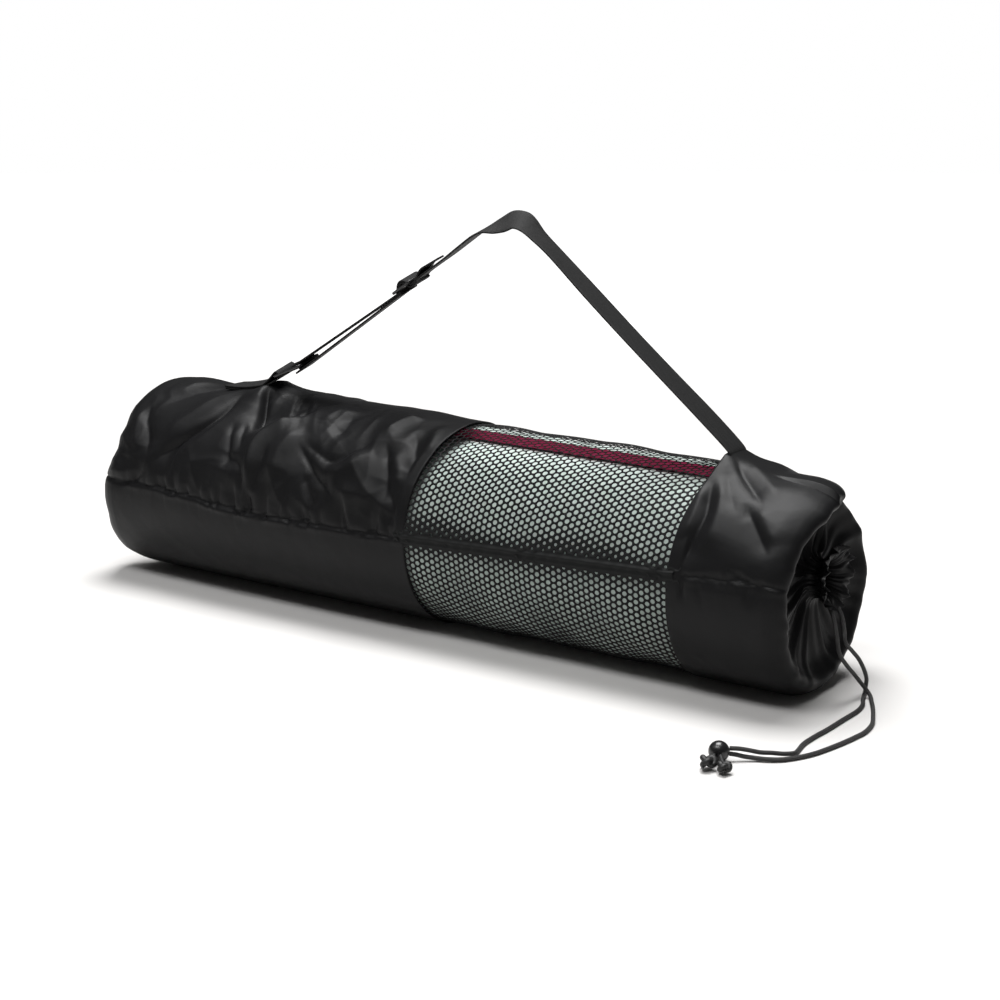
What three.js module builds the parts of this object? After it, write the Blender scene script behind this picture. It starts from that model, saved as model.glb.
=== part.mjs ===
// Yoga mat bag: a nylon tube with a net window, a mouth drawn shut by a cord, and a carrying strap,
// lying on its side round a rolled mat. Lengths are millimetres and angles are degrees.
// +X runs along the bag to its drawn mouth, -Y is its front, +Z is up, and it lies on Z = 0.
// Angles round the bag are counted from its top towards its front.

import * as THREE from 'three';

// Bag sizes
const closedPanelLength = 334.5;
const netLength = 229;
const mouthPanelLength = 84;
const footToClosedEnd = 322.5;
const closedEndRadius = 84;
const mouthTaper = 6.5;
const nylonWall = 1.2;
const netWall = 1.0;
const netHem = 8;
const seamBow = 9;
const fitGap = 0.4;

// Rolled mat
const matThickness = 10;
const matLayerGap = 1;
const matCoreRadius = 20;
const matEndGap = 17;
const matMouthGap = 20.5;
const matEdgeAngle = 0;
const matEdgeLift = 1;
const matStepsPerTurn = 22;

// Fabric form
const foldHeight = 7;
const foldWidth = 13;
const cornerRadius = 14;
const tentRadius = 46;
const tabTentHeight = 9.5;
const strapTentHeight = 10.5;
const sidesRound = 44;

// Drawn mouth
const mouthRadius = 13;
const ruffleLength = 16;
const lipDepth = 11;
const pleatCount = 11;
const pleatDepth = 2.6;
const mouthRise = 7;
const ruffleRise = 10;

// Strap of flat webbing
const webbingWidth = 25;
const webbingThickness = 1.5;
const tabLength = 50;
const tabPeakPlace = 0.402;
const strapPeakPlace = 2.12;
const strapRise = 152;
const tailLength = 22;
const layerPitch = 1.9;

// Ring and slider
const ringBar = 2.8;
const ringLength = 33;
const ringTilt = 22;
const ringLead = 8;
const ringLift = 9;
const ringCorner = 3;
const sliderBar = 2.6;
const sliderLength = 22;
const sliderThickness = 2.2;
const sliderTilt = 33;
const sliderAlong = 0.331;
const sliderUp = 0.66;
const sliderCorner = 3;
const slotCorner = 0.5;
const railGap = 0.6;
const entryRun = 2;
const slotEase = 1;
const barEase = 0.6;

// Drawcord and what is on it
const cordDiameter = 3;
const cordSides = 8;
const cordSteps = 32;
const cordReach = 60;
const cordRun = 160;
const cordDrop = 70;
const lockRadius = 6.9;
const lockReach = 0.8;
const lockRun = 155.8;
const bigKnotRadius = 5.8;
const smallKnotRadius = 4.8;
const knotRun = 172.6;
const bigKnotReach = 1.8;
const smallKnotReach = 13.2;

// Places along the bag
const closedEnd = -footToClosedEnd;
const netStart = closedEnd + closedPanelLength;
const netEnd = netStart + netLength;
const rim = netEnd + mouthPanelLength;
const rollStart = closedEnd + matEndGap;
const rollEnd = rim - matMouthGap;
const mouthEndRadius = closedEndRadius - mouthTaper;
const rollPitch = matThickness + matLayerGap;
const rollFloor = nylonWall + netWall + 2 * fitGap;
const flatDip = closedEndRadius * (1 - Math.cos(Math.PI / sidesRound));

// The bag's outline. Places count along the bag: 0 to 1 is the closed panel, 1 to 2 the net and
// 2 to 3 the mouth panel. Each size is a share of the bag's radius at that place.
const outline = [
  { place: 0.0, top: 1.0, front: 0.98, bottom: 0.97, back: 0.98 },
  { place: 0.03, top: 1.015, front: 1.0, bottom: 1.012, back: 1.0 },
  { place: 0.045, top: 1.045, front: 1.0, bottom: 1.012, back: 1.0 },
  { place: 0.14, top: 1.04, front: 1.01, bottom: 1.012, back: 1.01 },
  { place: 0.235, top: 1.01, front: 1.02, bottom: 1.012, back: 1.01 },
  { place: 0.3, top: 1.025, front: 1.03, bottom: 1.012, back: 1.01 },
  { place: 0.5, top: 1.045, front: 1.035, bottom: 1.012, back: 1.02 },
  { place: 0.76, top: 1.06, front: 1.04, bottom: 1.012, back: 1.02 },
  { place: 0.88, top: 1.065, front: 1.03, bottom: 1.012, back: 1.02 },
  { place: 0.95, top: 1.04, front: 1.02, bottom: 1.012, back: 1.015 },
  { place: 1.0, top: 1.035, front: 1.015, bottom: 1.012, back: 1.01 },
  { place: 1.5, top: 1.045, front: 1.01, bottom: 1.012, back: 1.01 },
  { place: 1.9, top: 1.035, front: 1.01, bottom: 1.012, back: 1.01 },
  { place: 2.1, top: 1.03, front: 1.01, bottom: 1.012, back: 1.01 },
  { place: 2.5, top: 1.015, front: 1.015, bottom: 1.012, back: 1.0 },
  { place: 2.85, top: 0.98, front: 1.0, bottom: 1.012, back: 0.97 },
  { place: 3.0, top: 0.95, front: 0.98, bottom: 0.985, back: 0.93 },
];

// The long seam joins the upper and lower cloth along the front.
const seamLine = [
  { place: 0, angle: 84 },
  { place: 0.3, angle: 85 },
  { place: 0.47, angle: 89 },
  { place: 1, angle: 87 },
  { place: 2, angle: 80 },
  { place: 2.6, angle: 76 },
  { place: 3, angle: 77 },
];
const seamAngle = 84;
const seamReach = 80;

// Folds run straight from one place and angle to another. Width and height are shares of
// foldWidth and foldHeight, and a fold with a negative height is a valley.
const folds = [
  // Round the tab's pull
  { from: 0.325, fromAngle: 10, to: 0.33, toAngle: 34, width: 0.55, height: -0.75 },
  { from: 0.33, fromAngle: 32, to: 0.17, toAngle: 71, width: 0.6, height: -0.75 },
  { from: 0.175, fromAngle: 4, to: 0.105, toAngle: 36, width: 0.8, height: -0.35 },
  { from: 0.24, fromAngle: 12, to: 0.15, toAngle: 42, width: 1.1, height: 0.4 },
  { from: 0.4, fromAngle: 18, to: 0.385, toAngle: 34, width: 0.9, height: 0.85 },
  { from: 0.385, fromAngle: 34, to: 0.345, toAngle: 66, width: 1.2, height: 0.6 },
  { from: 0.435, fromAngle: 14, to: 0.47, toAngle: 30, width: 0.9, height: -0.9 },
  { from: 0.47, fromAngle: 28, to: 0.455, toAngle: 44, width: 0.6, height: -0.5 },
  { from: 0.585, fromAngle: 22, to: 0.51, toAngle: 40, width: 0.8, height: 0.85 },
  { from: 0.51, fromAngle: 40, to: 0.525, toAngle: 76, width: 1.2, height: 0.8 },
  { from: 0.43, fromAngle: -16, to: 0.6, toAngle: -30, width: 1.0, height: 0.5 },
  { from: 0.36, fromAngle: -18, to: 0.24, toAngle: -40, width: 1.1, height: 0.6 },
  { from: 0.4, fromAngle: -20, to: 0.42, toAngle: -60, width: 1.1, height: 0.7 },
  // Slack cloth towards the net
  { from: 0.62, fromAngle: 40, to: 0.72, toAngle: 62, width: 0.7, height: -0.8 },
  { from: 0.72, fromAngle: 62, to: 0.8, toAngle: 80, width: 0.6, height: -0.6 },
  { from: 0.745, fromAngle: 51, to: 0.84, toAngle: 29, width: 0.5, height: -0.6 },
  { from: 0.78, fromAngle: 60, to: 0.93, toAngle: 54, width: 1.5, height: 0.9 },
  { from: 0.72, fromAngle: 24, to: 0.8, toAngle: 22, width: 1.4, height: -0.5 },
  { from: 0.935, fromAngle: 28, to: 0.95, toAngle: 70, width: 0.5, height: -0.5 },
  { from: 0.66, fromAngle: -30, to: 0.9, toAngle: -48, width: 1.2, height: 0.6 },
  { from: 0.1, fromAngle: -50, to: 0.32, toAngle: -76, width: 1.1, height: 0.5 },
  // Round the strap's pull
  { from: 2.12, fromAngle: 20, to: 2.2, toAngle: 54, width: 0.45, height: -0.5 },
  { from: 2.2, fromAngle: 54, to: 2.1, toAngle: 76, width: 0.45, height: -0.5 },
  { from: 2.22, fromAngle: 10, to: 2.62, toAngle: 32, width: 0.5, height: -0.55 },
  { from: 2.5, fromAngle: 34, to: 2.88, toAngle: 62, width: 0.45, height: -0.5 },
  { from: 2.24, fromAngle: 26, to: 2.45, toAngle: 60, width: 1.1, height: 0.7 },
  { from: 2.36, fromAngle: 0, to: 2.8, toAngle: 14, width: 1.0, height: 0.4 },
  { from: 2.24, fromAngle: -22, to: 2.6, toAngle: -44, width: 0.9, height: 0.6 },
];

// The closed end, from its middle to where the side begins. Along is a share of cornerRadius,
// size a share of the side's radius, and facing the angle from the side's way to the end's.
const closedEndRings = [
  { along: -0.3, size: 0.2, facing: 90 },
  { along: -0.22, size: 0.55, facing: 85 },
  { along: -0.02, size: 0.82, facing: 75 },
  { along: 0.3, size: 0.94, facing: 45 },
  { along: 0.75, size: 0.985, facing: 15 },
];

// The mouth end, from its rim to the hem's edge. Along is a share of ruffleLength past the rim,
// size a share of the side's radius, lip the share of lipDepth by which the upper part hangs
// out, and pleat the share of pleatDepth.
const rimRings = [
  { along: -0.95, size: 1.0, facing: 0, lip: 0.0, pleat: 0.0 },
  { along: -0.3, size: 0.965, facing: 35, lip: 0.35, pleat: 0.1 },
  { along: 0.08, size: 0.89, facing: 70, lip: 0.8, pleat: 0.3 },
  { along: 0.2, size: 0.77, facing: 90, lip: 1.0, pleat: 0.5 },
  { along: 0.12, size: 0.61, facing: 90, lip: 0.95, pleat: 0.8 },
  { along: -0.1, size: 0.45, facing: 90, lip: 0.5, pleat: 1.0 },
  { along: -0.32, size: 0.31, facing: 90, lip: 0.1, pleat: 0.9 },
];
const hemStart = {
  along: -0.32, size: 0.31 - fitGap / mouthEndRadius, facing: 90, lip: 0.1, pleat: 0.9,
};
const hemRings = [
  { along: -0.4, size: 1.0, facing: 45, rise: 0.0, pleat: 0.5 },
  { along: -0.05, size: 1.0, facing: 0, rise: 0.2, pleat: 0.5 },
  { along: 0.3, size: 1.25, facing: 0, rise: 0.6, pleat: 0.9 },
  { along: 0.62, size: 1.4, facing: 0, rise: 1.0, pleat: 1.1 },
];

// The strap from its slider to its sewn end. Along is a share of the way from the tab's peak to
// the strap's, up a share of strapRise above the sewn end, and turn the webbing's roll.
const strapRoute = [
  { along: 0.363, up: 0.705, turn: 3 },
  { along: 0.422, up: 0.813, turn: 9 },
  { along: 0.456, up: 0.88, turn: 12 },
  { along: 0.489, up: 0.943, turn: 12 },
  { along: 0.51, up: 0.971, turn: 18 },
  { along: 0.532, up: 0.987, turn: 31 },
  { along: 0.552, up: 1.004, turn: 37 },
  { along: 0.572, up: 1.009, turn: 27 },
  { along: 0.586, up: 0.994, turn: 15 },
  { along: 0.599, up: 0.967, turn: 5 },
  { along: 0.615, up: 0.93, turn: 0 },
  { along: 0.652, up: 0.846, turn: -3 },
  { along: 0.726, up: 0.662, turn: 0 },
  { along: 0.799, up: 0.483, turn: 0 },
  { along: 0.873, up: 0.307, turn: 0 },
  { along: 0.946, up: 0.135, turn: 1 },
  { along: 1.0, up: 0.0, turn: 0 },
];

// The two strands of the drawcord, from the hem to the lock. Along is a share of cordReach past
// the rim, out a share of cordRun towards the front, and up a share of cordDrop.
const innerCordRoute = [
  { along: -0.033, out: -0.019, up: 0.99 },
  { along: 0.083, out: -0.025, up: 0.956 },
  { along: 0.2, out: -0.0125, up: 0.85 },
  { along: 0.283, out: 0.019, up: 0.72 },
  { along: 0.333, out: 0.044, up: 0.606 },
  { along: 0.367, out: -0.006, up: 0.49 },
  { along: 0.4, out: -0.056, up: 0.377 },
  { along: 0.425, out: -0.097, up: 0.249 },
  { along: 0.433, out: -0.125, up: 0.134 },
  { along: 0.425, out: -0.131, up: 0.056 },
  { along: 0.442, out: -0.109, up: 0.004 },
  { along: 0.483, out: -0.0625, up: 0 },
  { along: 0.533, out: -0.006, up: 0 },
  { along: 0.6, out: 0.056, up: 0 },
  { along: 0.633, out: 0.144, up: 0 },
  { along: 0.617, out: 0.269, up: 0 },
  { along: 0.6, out: 0.419, up: 0 },
  { along: 0.575, out: 0.525, up: 0 },
  { along: 0.567, out: 0.625, up: 0 },
  { along: 0.6, out: 0.706, up: 0 },
  { along: 0.608, out: 0.744, up: 0.003 },
  { along: 0.542, out: 0.7875, up: 0.014 },
  { along: 0.442, out: 0.828, up: 0.034 },
  { along: 0.358, out: 0.866, up: 0.051 },
  { along: 0.267, out: 0.897, up: 0.077 },
  { along: 0.183, out: 0.922, up: 0.094 },
  { along: 0.105, out: 0.946, up: 0.101 },
];
const outerCordRoute = [
  { along: -0.033, out: 0.019, up: 0.981 },
  { along: 0.083, out: 0.031, up: 0.941 },
  { along: 0.2, out: 0.0625, up: 0.834 },
  { along: 0.283, out: 0.094, up: 0.691 },
  { along: 0.333, out: 0.1, up: 0.52 },
  { along: 0.375, out: 0.05, up: 0.37 },
  { along: 0.417, out: -0.006, up: 0.241 },
  { along: 0.455, out: -0.047, up: 0.134 },
  { along: 0.5, out: -0.064, up: 0.066 },
  { along: 0.567, out: -0.056, up: 0.014 },
  { along: 0.633, out: -0.0125, up: 0 },
  { along: 0.742, out: 0.069, up: 0 },
  { along: 0.85, out: 0.1625, up: 0 },
  { along: 0.942, out: 0.256, up: 0 },
  { along: 0.975, out: 0.356, up: 0 },
  { along: 0.95, out: 0.4375, up: 0 },
  { along: 0.908, out: 0.525, up: 0 },
  { along: 0.858, out: 0.606, up: 0 },
  { along: 0.792, out: 0.694, up: 0 },
  { along: 0.7, out: 0.769, up: 0 },
  { along: 0.583, out: 0.834, up: 0.001 },
  { along: 0.45, out: 0.872, up: 0.006 },
  { along: 0.333, out: 0.894, up: 0.013 },
  { along: 0.233, out: 0.916, up: 0.024 },
  { along: 0.167, out: 0.931, up: 0.039 },
  { along: 0.103, out: 0.947, up: 0.049 },
];

// Plain helpers

function degrees(angle) {
  return THREE.MathUtils.degToRad(angle);
}

function readTable(rows, key, place, column) {
  const last = rows[rows.length - 1];
  if (place <= rows[0][key]) return rows[0][column];
  if (place >= last[key]) return last[column];
  const next = rows.findIndex((row) => row[key] >= place);
  const from = rows[next - 1];
  const to = rows[next];
  const share = (place - from[key]) / (to[key] - from[key]);
  return THREE.MathUtils.lerp(from[column], to[column], share);
}

// Joins equal rings of points into one closed skin that faces out.
function skin(rings, isLoop) {
  const count = rings[0].length;
  const positions = rings.flat().flatMap((point) => [point.x, point.y, point.z]);
  const faces = [];
  const strips = isLoop ? rings.length : rings.length - 1;
  for (let ring = 0; ring < strips; ring += 1) {
    const near = ring * count;
    const far = ((ring + 1) % rings.length) * count;
    for (let side = 0; side < count; side += 1) {
      const next = (side + 1) % count;
      faces.push([near + side, near + next, far + next], [near + side, far + next, far + side]);
    }
  }
  if (!isLoop) {
    for (const end of [0, rings.length - 1]) {
      const centre = new THREE.Vector3();
      rings[end].forEach((point) => centre.addScaledVector(point, 1 / count));
      const hub = positions.length / 3;
      positions.push(centre.x, centre.y, centre.z);
      for (let side = 0; side < count; side += 1) {
        const pair = [end * count + side, end * count + ((side + 1) % count)];
        faces.push(end === 0 ? [hub, pair[1], pair[0]] : [hub, pair[0], pair[1]]);
      }
    }
  }
  if (signedVolume(positions, faces) < 0) faces.forEach((face) => face.reverse());
  const geometry = new THREE.BufferGeometry();
  geometry.setAttribute('position', new THREE.Float32BufferAttribute(positions, 3));
  geometry.setIndex(faces.flat());
  geometry.computeVertexNormals();
  return geometry;
}

function signedVolume(positions, faces) {
  const corner = (index) => new THREE.Vector3().fromArray(positions, index * 3);
  return faces.reduce((sum, [a, b, c]) => sum + corner(a).dot(corner(b).cross(corner(c))) / 6, 0);
}

function piece(name, geometry, material) {
  const mesh = new THREE.Mesh(geometry, material);
  mesh.name = name;
  return mesh;
}

// The bag's surface

function bagRadius(x) {
  return THREE.MathUtils.mapLinear(x, closedEnd, rim, closedEndRadius, mouthEndRadius);
}

function placeAlong(x) {
  if (x < netStart) return (x - closedEnd) / closedPanelLength;
  if (x < netEnd) return 1 + (x - netStart) / netLength;
  return 2 + (x - netEnd) / mouthPanelLength;
}

function xAtPlace(place) {
  if (place < 1) return closedEnd + place * closedPanelLength;
  if (place < 2) return netStart + (place - 1) * netLength;
  return netEnd + (place - 2) * mouthPanelLength;
}

function baseRadius(x, angle) {
  const place = placeAlong(x);
  const up = Math.cos(degrees(angle));
  const front = Math.sin(degrees(angle));
  const upShare = readTable(outline, 'place', place, up > 0 ? 'top' : 'bottom');
  const sideShare = readTable(outline, 'place', place, front > 0 ? 'front' : 'back');
  return bagRadius(x) * (upShare * up * up + sideShare * front * front);
}

// How far the rolled mat reaches from the bag's axis, with its free edge a little widened
function rollReach(x, angle) {
  const edgeRoom = 8;
  const edgeRadius = bagRadius(x) + matEdgeLift;
  const turned = THREE.MathUtils.euclideanModulo(matEdgeAngle + edgeRoom - angle, 360) / 360;
  const spiral = edgeRadius - rollPitch * (turned - edgeRoom / 360);
  const centre = rollCentre(x);
  const side = -centre.y * Math.sin(degrees(angle));
  return spiral + side + (centre.z - bagRadius(x)) * Math.cos(degrees(angle));
}

function rollCentre(x) {
  const toBottom = (180 + matEdgeAngle) / 360;
  const toFront = (270 + matEdgeAngle) / 360;
  const toBack = (90 + matEdgeAngle) / 360;
  const up = rollFloor + bagRadius(x) + matEdgeLift - rollPitch * toBottom;
  return new THREE.Vector3(x, (-rollPitch * (toFront - toBack)) / 2, up);
}

function foldRelief(x, angle) {
  const round = degrees(1) * bagRadius(x);
  let relief = 0;
  for (const fold of folds) {
    const start = new THREE.Vector2(xAtPlace(fold.from), fold.fromAngle * round);
    const run = new THREE.Vector2(xAtPlace(fold.to), fold.toAngle * round).sub(start);
    const spot = new THREE.Vector2(x, angle * round).sub(start);
    const share = THREE.MathUtils.clamp(spot.dot(run) / run.lengthSq(), 0, 1);
    const away = spot.distanceTo(run.multiplyScalar(share)) / (fold.width * foldWidth);
    relief += fold.height * foldHeight * Math.exp(-away * away);
  }
  relief += tentRelief(x, angle, tabPeakPlace, tabTentHeight);
  relief += tentRelief(x, angle, strapPeakPlace, strapTentHeight);
  return relief;
}

function tentRelief(x, angle, place, height) {
  const across = angle * degrees(1) * bagRadius(x);
  const away = Math.hypot(x - xAtPlace(place), across) / tentRadius;
  return away < 1 ? height * (1 - away) ** 2 : 0;
}

function nylonRadius(x, angle) {
  const wrapped = angle > 180 ? angle - 360 : angle;
  const base = baseRadius(x, wrapped);
  const nearNet = Math.max(netStart - x, x - netEnd) < netHem + seamBow;
  const relief = foldRelief(x, wrapped);
  const overRoll = rollReach(x, wrapped) + fitGap + nylonWall + flatDip;
  return Math.max(base + (nearNet ? Math.max(relief, 0) : relief), overRoll);
}

function netRadius(x, angle) {
  const wrapped = angle > 180 ? angle - 360 : angle;
  const overRoll = rollReach(x, wrapped) + fitGap + netWall + flatDip;
  return Math.max(baseRadius(x, wrapped) - nylonWall - fitGap, overRoll);
}

// A point at a radius and angle round the bag's axis, no lower than the given height
function pointAt(x, radius, angle, lowest) {
  const turn = degrees(angle);
  const up = Math.max(bagRadius(x) + radius * Math.cos(turn), lowest);
  return new THREE.Vector3(x, -radius * Math.sin(turn), up);
}

// The angles of one ring. They follow the long seam, so that one line of points lies on it.
function ringAngles(x) {
  const drift = readTable(seamLine, 'place', placeAlong(x), 'angle') - seamAngle;
  return Array.from({ length: sidesRound }, (_, side) => {
    const angle = (side * 360) / sidesRound;
    const away = Math.abs(angle - seamAngle) / seamReach;
    return away < 1 ? angle + drift * Math.cos((away * Math.PI) / 2) : angle;
  });
}

function topBow(angle) {
  return seamBow * Math.max(Math.cos(degrees(angle)), 0) ** 3;
}

// An outer ring and the inner ring that lies one wall behind it
function wallRings({ x, facing = 0, side = 1, size = 1, shift, radiusAt, wall, lowest }) {
  const out = Math.cos(degrees(facing)) * wall;
  const along = Math.sin(degrees(facing)) * wall * side;
  const angles = ringAngles(x);
  const outer = [];
  const inner = [];
  for (const angle of angles) {
    const move = shift ? shift(angle) : 0;
    const radius = size * radiusAt(x + move, angle);
    outer.push(pointAt(x + move, radius, angle, lowest));
    inner.push(pointAt(x + move, radius - out, angle, lowest + wall));
    inner[inner.length - 1].x -= along;
  }
  return { outer, inner };
}

function evenly(from, to, steps) {
  return Array.from({ length: steps + 1 }, (_, step) => from + ((to - from) * step) / steps);
}

function closedPanel() {
  const steps = 18;
  const nylon = { radiusAt: nylonRadius, wall: nylonWall, lowest: 0 };
  const rings = closedEndRings.map((ring) => wallRings({
    x: closedEnd + ring.along * cornerRadius, facing: ring.facing, side: -1, size: ring.size,
    ...nylon,
  }));
  const edge = netStart - fitGap / 2;
  for (const x of evenly(closedEnd + 1.2 * cornerRadius, edge, steps)) {
    const share = THREE.MathUtils.smoothstep(x, edge - 4 * seamBow, edge);
    rings.push(wallRings({ x, shift: (angle) => share * topBow(angle), ...nylon }));
  }
  const outer = rings.map((ring) => ring.outer);
  const inner = rings.map((ring) => ring.inner).reverse();
  return skin([...outer, ...inner], false);
}

function netWindow() {
  const steps = 4;
  const rings = evenly(netStart - netHem, netEnd + netHem, steps).map((x) => wallRings({
    x, radiusAt: netRadius, wall: netWall, lowest: nylonWall + fitGap, shift: topBow,
  }));
  const outer = rings.map((ring) => ring.outer);
  const inner = rings.map((ring) => ring.inner).reverse();
  return skin([...outer, ...inner], true);
}

function mouthPanel() {
  const steps = 7;
  const nylon = { radiusAt: nylonRadius, wall: nylonWall, lowest: 0 };
  const edge = netEnd + fitGap / 2;
  const sideEnd = rim - 1.5 * ruffleLength;
  const rings = evenly(edge, sideEnd, steps).map((x) => {
    const share = 1 - THREE.MathUtils.smoothstep(x, edge, edge + 4 * seamBow);
    return wallRings({ x, shift: (angle) => share * topBow(angle), ...nylon });
  });
  for (const ring of rimRings) rings.push(rimRing(ring));
  const outer = rings.map((ring) => ring.outer);
  const inner = rings.map((ring) => ring.inner).reverse();
  return skin([...outer, ...inner], true);
}

// The hem that the cord draws together, with its ruffle
function mouthHem() {
  const rings = [rimRing(hemStart), ...hemRings.map(hemRing)];
  const outer = rings.map((ring) => ring.outer);
  const inner = rings.map((ring) => ring.inner).reverse();
  return skin([...outer, ...inner], true);
}

function pleat(angle) {
  return Math.cos(degrees(angle * pleatCount));
}

function rimRing({ along, size, facing, lip, pleat: pleatShare }) {
  const lipAngle = 80;
  const x = rim + along * ruffleLength;
  const shift = (angle) => {
    const away = Math.abs(angle > 180 ? angle - 360 : angle) / lipAngle;
    const hang = away < 1 ? Math.cos((away * Math.PI) / 2) ** 2 : 0;
    return lip * lipDepth * hang + pleatShare * pleatDepth * pleat(angle);
  };
  const radiusAt = (_, angle) => nylonRadius(Math.min(x, rim), angle);
  return wallRings({ x, facing, size, shift, radiusAt, wall: nylonWall, lowest: 0 });
}

function hemRing({ along, size, facing, rise, pleat: pleatShare }) {
  const x = rim + along * ruffleLength;
  const centre = new THREE.Vector3(0, 0, bagRadius(x) + mouthRise + rise * ruffleRise);
  const outer = [];
  const inner = [];
  for (const angle of ringAngles(rim)) {
    const turn = degrees(angle);
    const radius = size * mouthRadius + pleatShare * pleatDepth * pleat(angle);
    const way = new THREE.Vector3(0, -Math.sin(turn), Math.cos(turn));
    outer.push(centre.clone().addScaledVector(way, radius).setX(x));
    const out = Math.cos(degrees(facing)) * nylonWall;
    const back = Math.sin(degrees(facing)) * nylonWall;
    inner.push(centre.clone().addScaledVector(way, radius - out).setX(x - back));
  }
  return { outer, inner };
}

// The rolled mat: a spiral sheet, a little wider at the closed end
function rolledMat() {
  const turns = (bagRadius(rollStart) + matEdgeLift - matThickness - matCoreRadius) / rollPitch;
  const steps = Math.round(turns * matStepsPerTurn);
  const section = (x) => {
    const centre = rollCentre(x);
    const edgeRadius = bagRadius(x) + matEdgeLift;
    const sides = [[], []];
    for (let step = 0; step <= steps; step += 1) {
      const turned = step / matStepsPerTurn;
      const angle = degrees(matEdgeAngle - 360 * turned);
      const radius = edgeRadius - rollPitch * turned;
      [radius, radius - matThickness].forEach((reach, side) => {
        const across = centre.y - reach * Math.sin(angle);
        sides[side].push(new THREE.Vector3(x, across, centre.z + reach * Math.cos(angle)));
      });
    }
    return sides;
  };
  const [nearOuter, nearInner] = section(rollStart);
  const [farOuter, farInner] = section(rollEnd);
  const rings = nearOuter.map((point, step) => [
    point, nearInner[step], farInner[step], farOuter[step],
  ]);
  return skin(rings, false);
}

// Webbing: a flat band along points in the bag's middle plane, rolled about its own run

function bandRings(path, thickness) {
  return path.map((spot, index) => {
    const before = path[Math.max(index - 1, 0)];
    const after = path[Math.min(index + 1, path.length - 1)];
    const run = new THREE.Vector3(after.x - before.x, 0, after.z - before.z).normalize();
    const face = new THREE.Vector3(-run.z, 0, run.x);
    const across = new THREE.Vector3(0, 1, 0).applyAxisAngle(run, degrees(spot.turn ?? 0));
    face.applyAxisAngle(run, degrees(spot.turn ?? 0));
    const centre = new THREE.Vector3(spot.x, 0, spot.z);
    return [[-1, -1], [1, -1], [1, 1], [-1, 1]].map(([side, level]) => centre.clone()
      .addScaledVector(across, (side * webbingWidth) / 2)
      .addScaledVector(face, (level * thickness) / 2));
  });
}

// The nylon's greatest height under the webbing
function topHeight(x) {
  const reach = THREE.MathUtils.radToDeg(webbingWidth / 2 / bagRadius(x));
  const heights = [-reach, 0, reach].map((angle) => (
    nylonRadius(x, angle < 0 ? angle + 360 : angle) * Math.cos(degrees(angle))
  ));
  return bagRadius(x) + Math.max(...heights);
}

const tabPeak = xAtPlace(tabPeakPlace);
const strapPeak = xAtPlace(strapPeakPlace);
const strapFoot = topHeight(strapPeak) + fitGap + webbingThickness / 2;

// The ring and the slider lie in the bag's middle plane. Along runs up their own tilt.
const ringFrame = { x: tabPeak + ringLead, z: topHeight(tabPeak) + ringLift, tilt: ringTilt };
const sliderFrame = {
  x: THREE.MathUtils.lerp(tabPeak, strapPeak, sliderAlong),
  z: strapFoot + sliderUp * strapRise,
  tilt: sliderTilt,
};
const farBar = inFrame(ringFrame, ringLength - ringBar, 0);

function inFrame(frame, along, above) {
  const turn = degrees(frame.tilt);
  const x = frame.x + along * Math.cos(turn) - above * Math.sin(turn);
  return { x, z: frame.z + along * Math.sin(turn) + above * Math.cos(turn) };
}

// A path round a bar, from one angle to another
function wrapPath(bar, fromAngle, toAngle, steps) {
  const clear = fitGap + webbingThickness / 2;
  const radius = (ringBar / 2) * Math.SQRT2 + clear;
  return evenly(fromAngle, toAngle, steps).map((angle) => ({
    x: bar.x + radius * Math.cos(degrees(angle)),
    z: bar.z + radius * Math.sin(degrees(angle)),
  }));
}

// The webbing's way through the slider: under its end bars and over its middle one
function sliderPath() {
  const over = sliderThickness / 2 + fitGap + webbingThickness / 2;
  const under = -over - layerPitch;
  const slotEnd = sliderLength / 2 - sliderBar;
  const bends = [
    [-sliderLength / 2 - entryRun, under],
    [-slotEnd + slotEase, under],
    [-sliderBar / 2 - barEase, over],
  ];
  const mirrored = bends.map(([along, above]) => [-along, above]).reverse();
  return [...bends, ...mirrored].map(([along, above]) => inFrame(sliderFrame, along, above));
}

// Moves a path to its left, seen with X to the right and Z up
function besidePath(path, distance) {
  return path.map((spot, index) => {
    const before = path[Math.max(index - 1, 0)];
    const after = path[Math.min(index + 1, path.length - 1)];
    const length = Math.hypot(after.x - before.x, after.z - before.z);
    const x = spot.x - ((after.z - before.z) / length) * distance;
    return { x, z: spot.z + ((after.x - before.x) / length) * distance };
  });
}

function strap() {
  const toSewnEnd = strapRoute.map(({ along, up, turn }) => ({
    x: THREE.MathUtils.lerp(tabPeak, strapPeak, along), z: strapFoot + up * strapRise, turn,
  }));
  const through = sliderPath();
  const back = besidePath(through, layerPitch).reverse();
  const tip = inFrame(sliderFrame, sliderLength / 2 + tailLength, -fitGap);
  const wrap = wrapPath(farBar, sliderTilt + 90, sliderTilt + 270, 6);
  const path = [tip, ...back, ...wrap, ...through, ...toSewnEnd];
  return skin(bandRings(path, webbingThickness), false);
}

function strapTab() {
  const lower = [0, 0.24, 0.5, 0.72, 0.9].map((share) => {
    const x = tabPeak - tabLength * (1 - share);
    return { x, z: topHeight(x) + 1.5 * fitGap + webbingThickness / 2 };
  });
  const upper = besidePath(lower, layerPitch).reverse();
  const wrap = wrapPath(ringFrame, ringTilt - 80, ringTilt + 100, 6);
  return skin(bandRings([...lower, ...wrap, ...upper], webbingThickness), false);
}

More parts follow.
